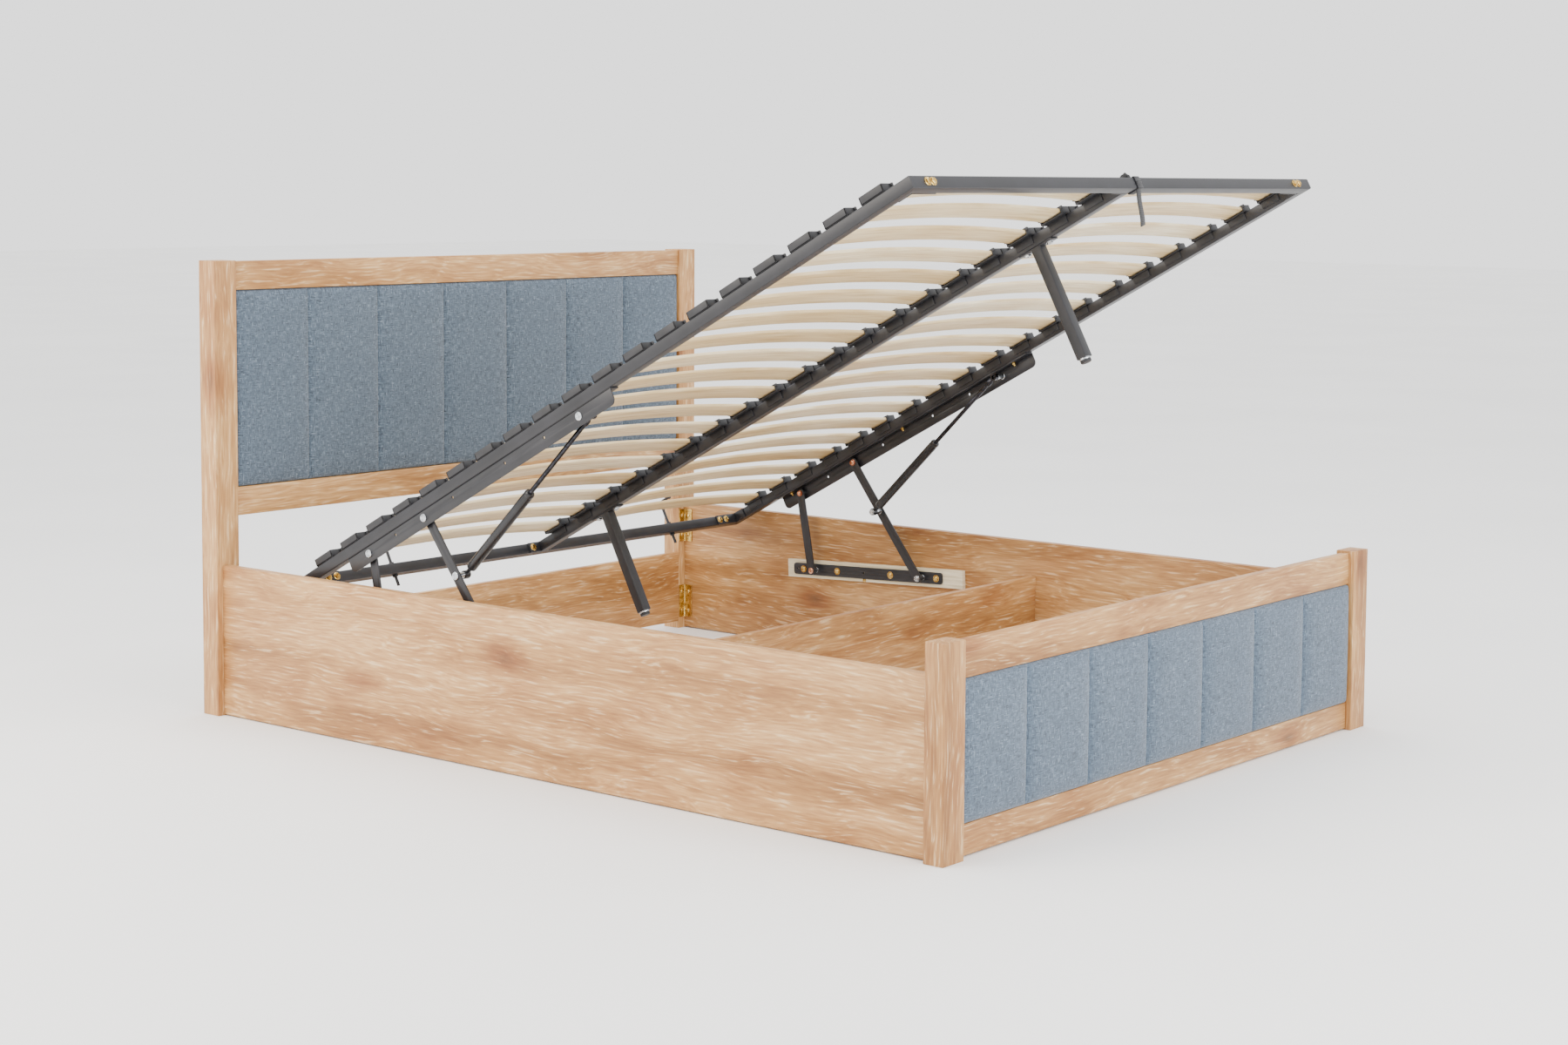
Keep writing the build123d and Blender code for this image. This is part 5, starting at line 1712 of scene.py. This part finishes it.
@dataclass
class HandleStrap:
    """Webbing looped round the foot tube, knotted, with its tail hanging down."""

    x: float = 24.0
    tube: float = 25.0
    width: float = 19.0
    thickness: float = 2.2
    tail: float = 90.0
    shift: float = 14.0

    def ribbon(self, path: Sequence[Vector], across: Vector) -> Part:
        """A band along a path, with its length and width as UVs in metres."""
        outline = rounded_outline(self.width, self.thickness, 0.9, 2)
        part = swept(path, outline, across)
        layer = part.loops.layers.uv.new("UVMap")
        for face in part.faces:
            for loop in face.loops:
                place = loop.vert.co
                loop[layer].uv = (place.x * MM, (place.z - place.y) * MM)
        return part

    def build(self, palette: Palette) -> None:
        """Build the loop, the knot and the tail."""
        out = 0.3 + self.thickness / 2
        low, high = -out, self.tube + out
        corners = ((low, -12), (low, out), (high, out), (high, -high), (low, -high), (low, -11))
        loop = [(self.x, y, z) for y, z in corners]
        parts = [self.ribbon(smooth_path(loop, 2.4, 4), Vector((1, 0, 0)))]
        turn = Matrix.Rotation(-BASE_TILT, 3, "X")
        start = Vector((self.x, low - self.thickness, -self.tube / 2))
        hang = []
        for k in range(13):
            t = k / 12
            drop = Vector((self.shift * t**1.5, 2.2 * math.sin(5.5 * t), -self.tail * t))
            hang.append(start + turn @ drop)
        parts.append(self.ribbon(hang, Vector((1, 0.12, 0))))
        knot = []
        for k in range(40):
            a = 2 * math.pi * k / 39
            x, y = self.x - 18 + 7 * math.cos(a), 12.5 + 6.4 * math.sin(2 * a)
            knot.append(Vector((x, y, 6.2 + 3.6 * math.sin(3 * a + 0.6))))
        parts.append(swept(knot, rounded_outline(9.0, 4.6, 1.6, 2), Vector((0, 0.4, 1))))
        bridge = [Vector((self.x - 8 - 8 * k / 4, 12.5, out + 1.6 * math.sin(math.pi * k / 4))) for k in range(5)]
        parts.append(swept(bridge, rounded_outline(12.0, 2.2, 0.9, 2), Vector((0, 1, 0))))
        mesh = mesh_from(parts, LIFTED)
        finished("lift_strap", mesh, palette.webbing, "lifting_base", ["handle_strap"], 50.0)


# The studio


@dataclass
class Studio:
    """Pale floor, soft light and the camera at the photograph's angle."""

    image_width: int = 1800
    eye: Point = (-4.5275, -3.8515, 1.2491)
    yaw: float = 52.635
    pitch: float = 4.555
    roll: float = 0.566
    focal_pixels: float = 3017.2
    shift: Pair = (-0.0889, -0.0889)

    def camera(self) -> None:
        """Make the camera fitted to the photograph."""
        data = bpy.data.cameras.new("camera")
        data.sensor_width = 36.0
        data.lens = self.focal_pixels / self.image_width * data.sensor_width
        data.shift_x, data.shift_y = self.shift
        data.clip_start, data.clip_end = 0.1, 100.0
        yaw, pitch, roll = (math.radians(a) for a in (self.yaw, self.pitch, self.roll))
        ahead = Vector((math.sin(yaw) * math.cos(pitch), math.cos(yaw) * math.cos(pitch), -math.sin(pitch)))
        level = Vector((math.cos(yaw), -math.sin(yaw), 0.0))
        above = level.cross(ahead)
        right = level * math.cos(roll) + above * math.sin(roll)
        up = above * math.cos(roll) - level * math.sin(roll)
        camera = bpy.data.objects.new("camera", data)
        camera.matrix_world = Matrix.Translation(self.eye) @ Matrix((right, up, -ahead)).transposed().to_4x4()
        bpy.context.scene.collection.objects.link(camera)
        bpy.context.scene.camera = camera

    def lamp(self, name: str, place: Point, target: Point, size: Pair, power: float, tint: str) -> None:
        """Hang a soft rectangular light.

        Args:
            name: The lamp's name.
            place: Where it hangs, in metres.
            target: What it points at.
            size: Width and height.
            power: Watts.
            tint: Hex colour.
        """
        data = bpy.data.lights.new(name, "AREA")
        data.shape = "RECTANGLE"
        data.size, data.size_y = size
        data.energy = power
        data.color = hex_colour(tint)[:3]
        lamp = bpy.data.objects.new(name, data)
        turn = (Vector(target) - Vector(place)).to_track_quat("-Z", "Y").to_matrix().to_4x4()
        lamp.matrix_world = Matrix.Translation(place) @ turn
        bpy.context.scene.collection.objects.link(lamp)

    def floor(self) -> None:
        """Lay the pale floor under the bed."""
        mesh = bpy.data.meshes.new("floor")
        reach = 30.0
        corners = [(x * reach, y * reach, 0) for x, y in ((-1, -1), (1, -1), (1, 1), (-1, 1))]
        mesh.from_pydata(corners, [], [(0, 1, 2, 3)])
        material, tree, shader = start_material("matt_white_studio_floor")
        place = pattern_place(tree, Axis.X, (0.0, 0.0, 0.0))
        # scuffs a metre across
        colour = ramp(tree, noise(tree, place, 1.0, 3.0), ((0.3, "F6F6F5"), (0.7, "FBFBFA")))
        tree.links.new(colour, shader.inputs["Base Color"])
        shader.inputs["Roughness"].default_value = 0.9
        mesh.materials.append(material)
        floor = bpy.data.objects.new("floor", mesh)
        bpy.context.scene.collection.objects.link(floor)

    def world(self, strength: float = 1.9) -> None:
        """Surround the scene with even white."""
        world = bpy.data.worlds.new("white_cyclorama")
        world.use_nodes = True
        tree = world.node_tree
        tree.nodes.clear()
        back = add(tree, "ShaderNodeBackground", {"Color": (1.0, 1.0, 1.0, 1.0), "Strength": strength})
        add(tree, "ShaderNodeOutputWorld", {"Surface": back.outputs[0]})
        bpy.context.scene.world = world

    def build(self) -> None:
        """Set up the studio."""
        self.camera()
        self.floor()
        self.world()
        self.lamp("head_side_light", (-4.2, 1.6, 2.4), (0, 0.3, 0.4), (3.2, 2.2), 170.0, "FFF6EA")
        self.lamp("foot_light", (-0.6, -4.4, 2.0), (0, -1.0, 0.3), (3.0, 1.8), 120.0, "FFFFFF")
        self.lamp("top_light", (0.0, 0.2, 4.2), (0, 0, 0), (3.5, 3.5), 90.0, "FFFFFF")


def main() -> None:
    """Build the bed from its frame outwards, then the studio."""
    logging.basicConfig(level=logging.INFO, format="%(message)s")
    palette = Palette.mix()
    tree = fastener_tree()
    Studio().build()
    Carcass().build()
    for node in ("headboard_pad", "footboard_pad"):
        ChannelledPad(node).build(palette)
    for node in ("headboard_back_panel", "footboard_back_panel"):
        BackCover(node).build(palette)
    CornerBrackets().build(palette, tree)
    for side in Side:
        Mechanism(side).build(palette, tree)
    BaseFrame().build(palette, tree)
    UnderBrackets().build(palette, tree)
    row = SlatRow()
    row.build(palette)
    SlatHolders(row).build(palette)
    HandleStrap().build(palette)


if __name__ == "__main__":
    main()
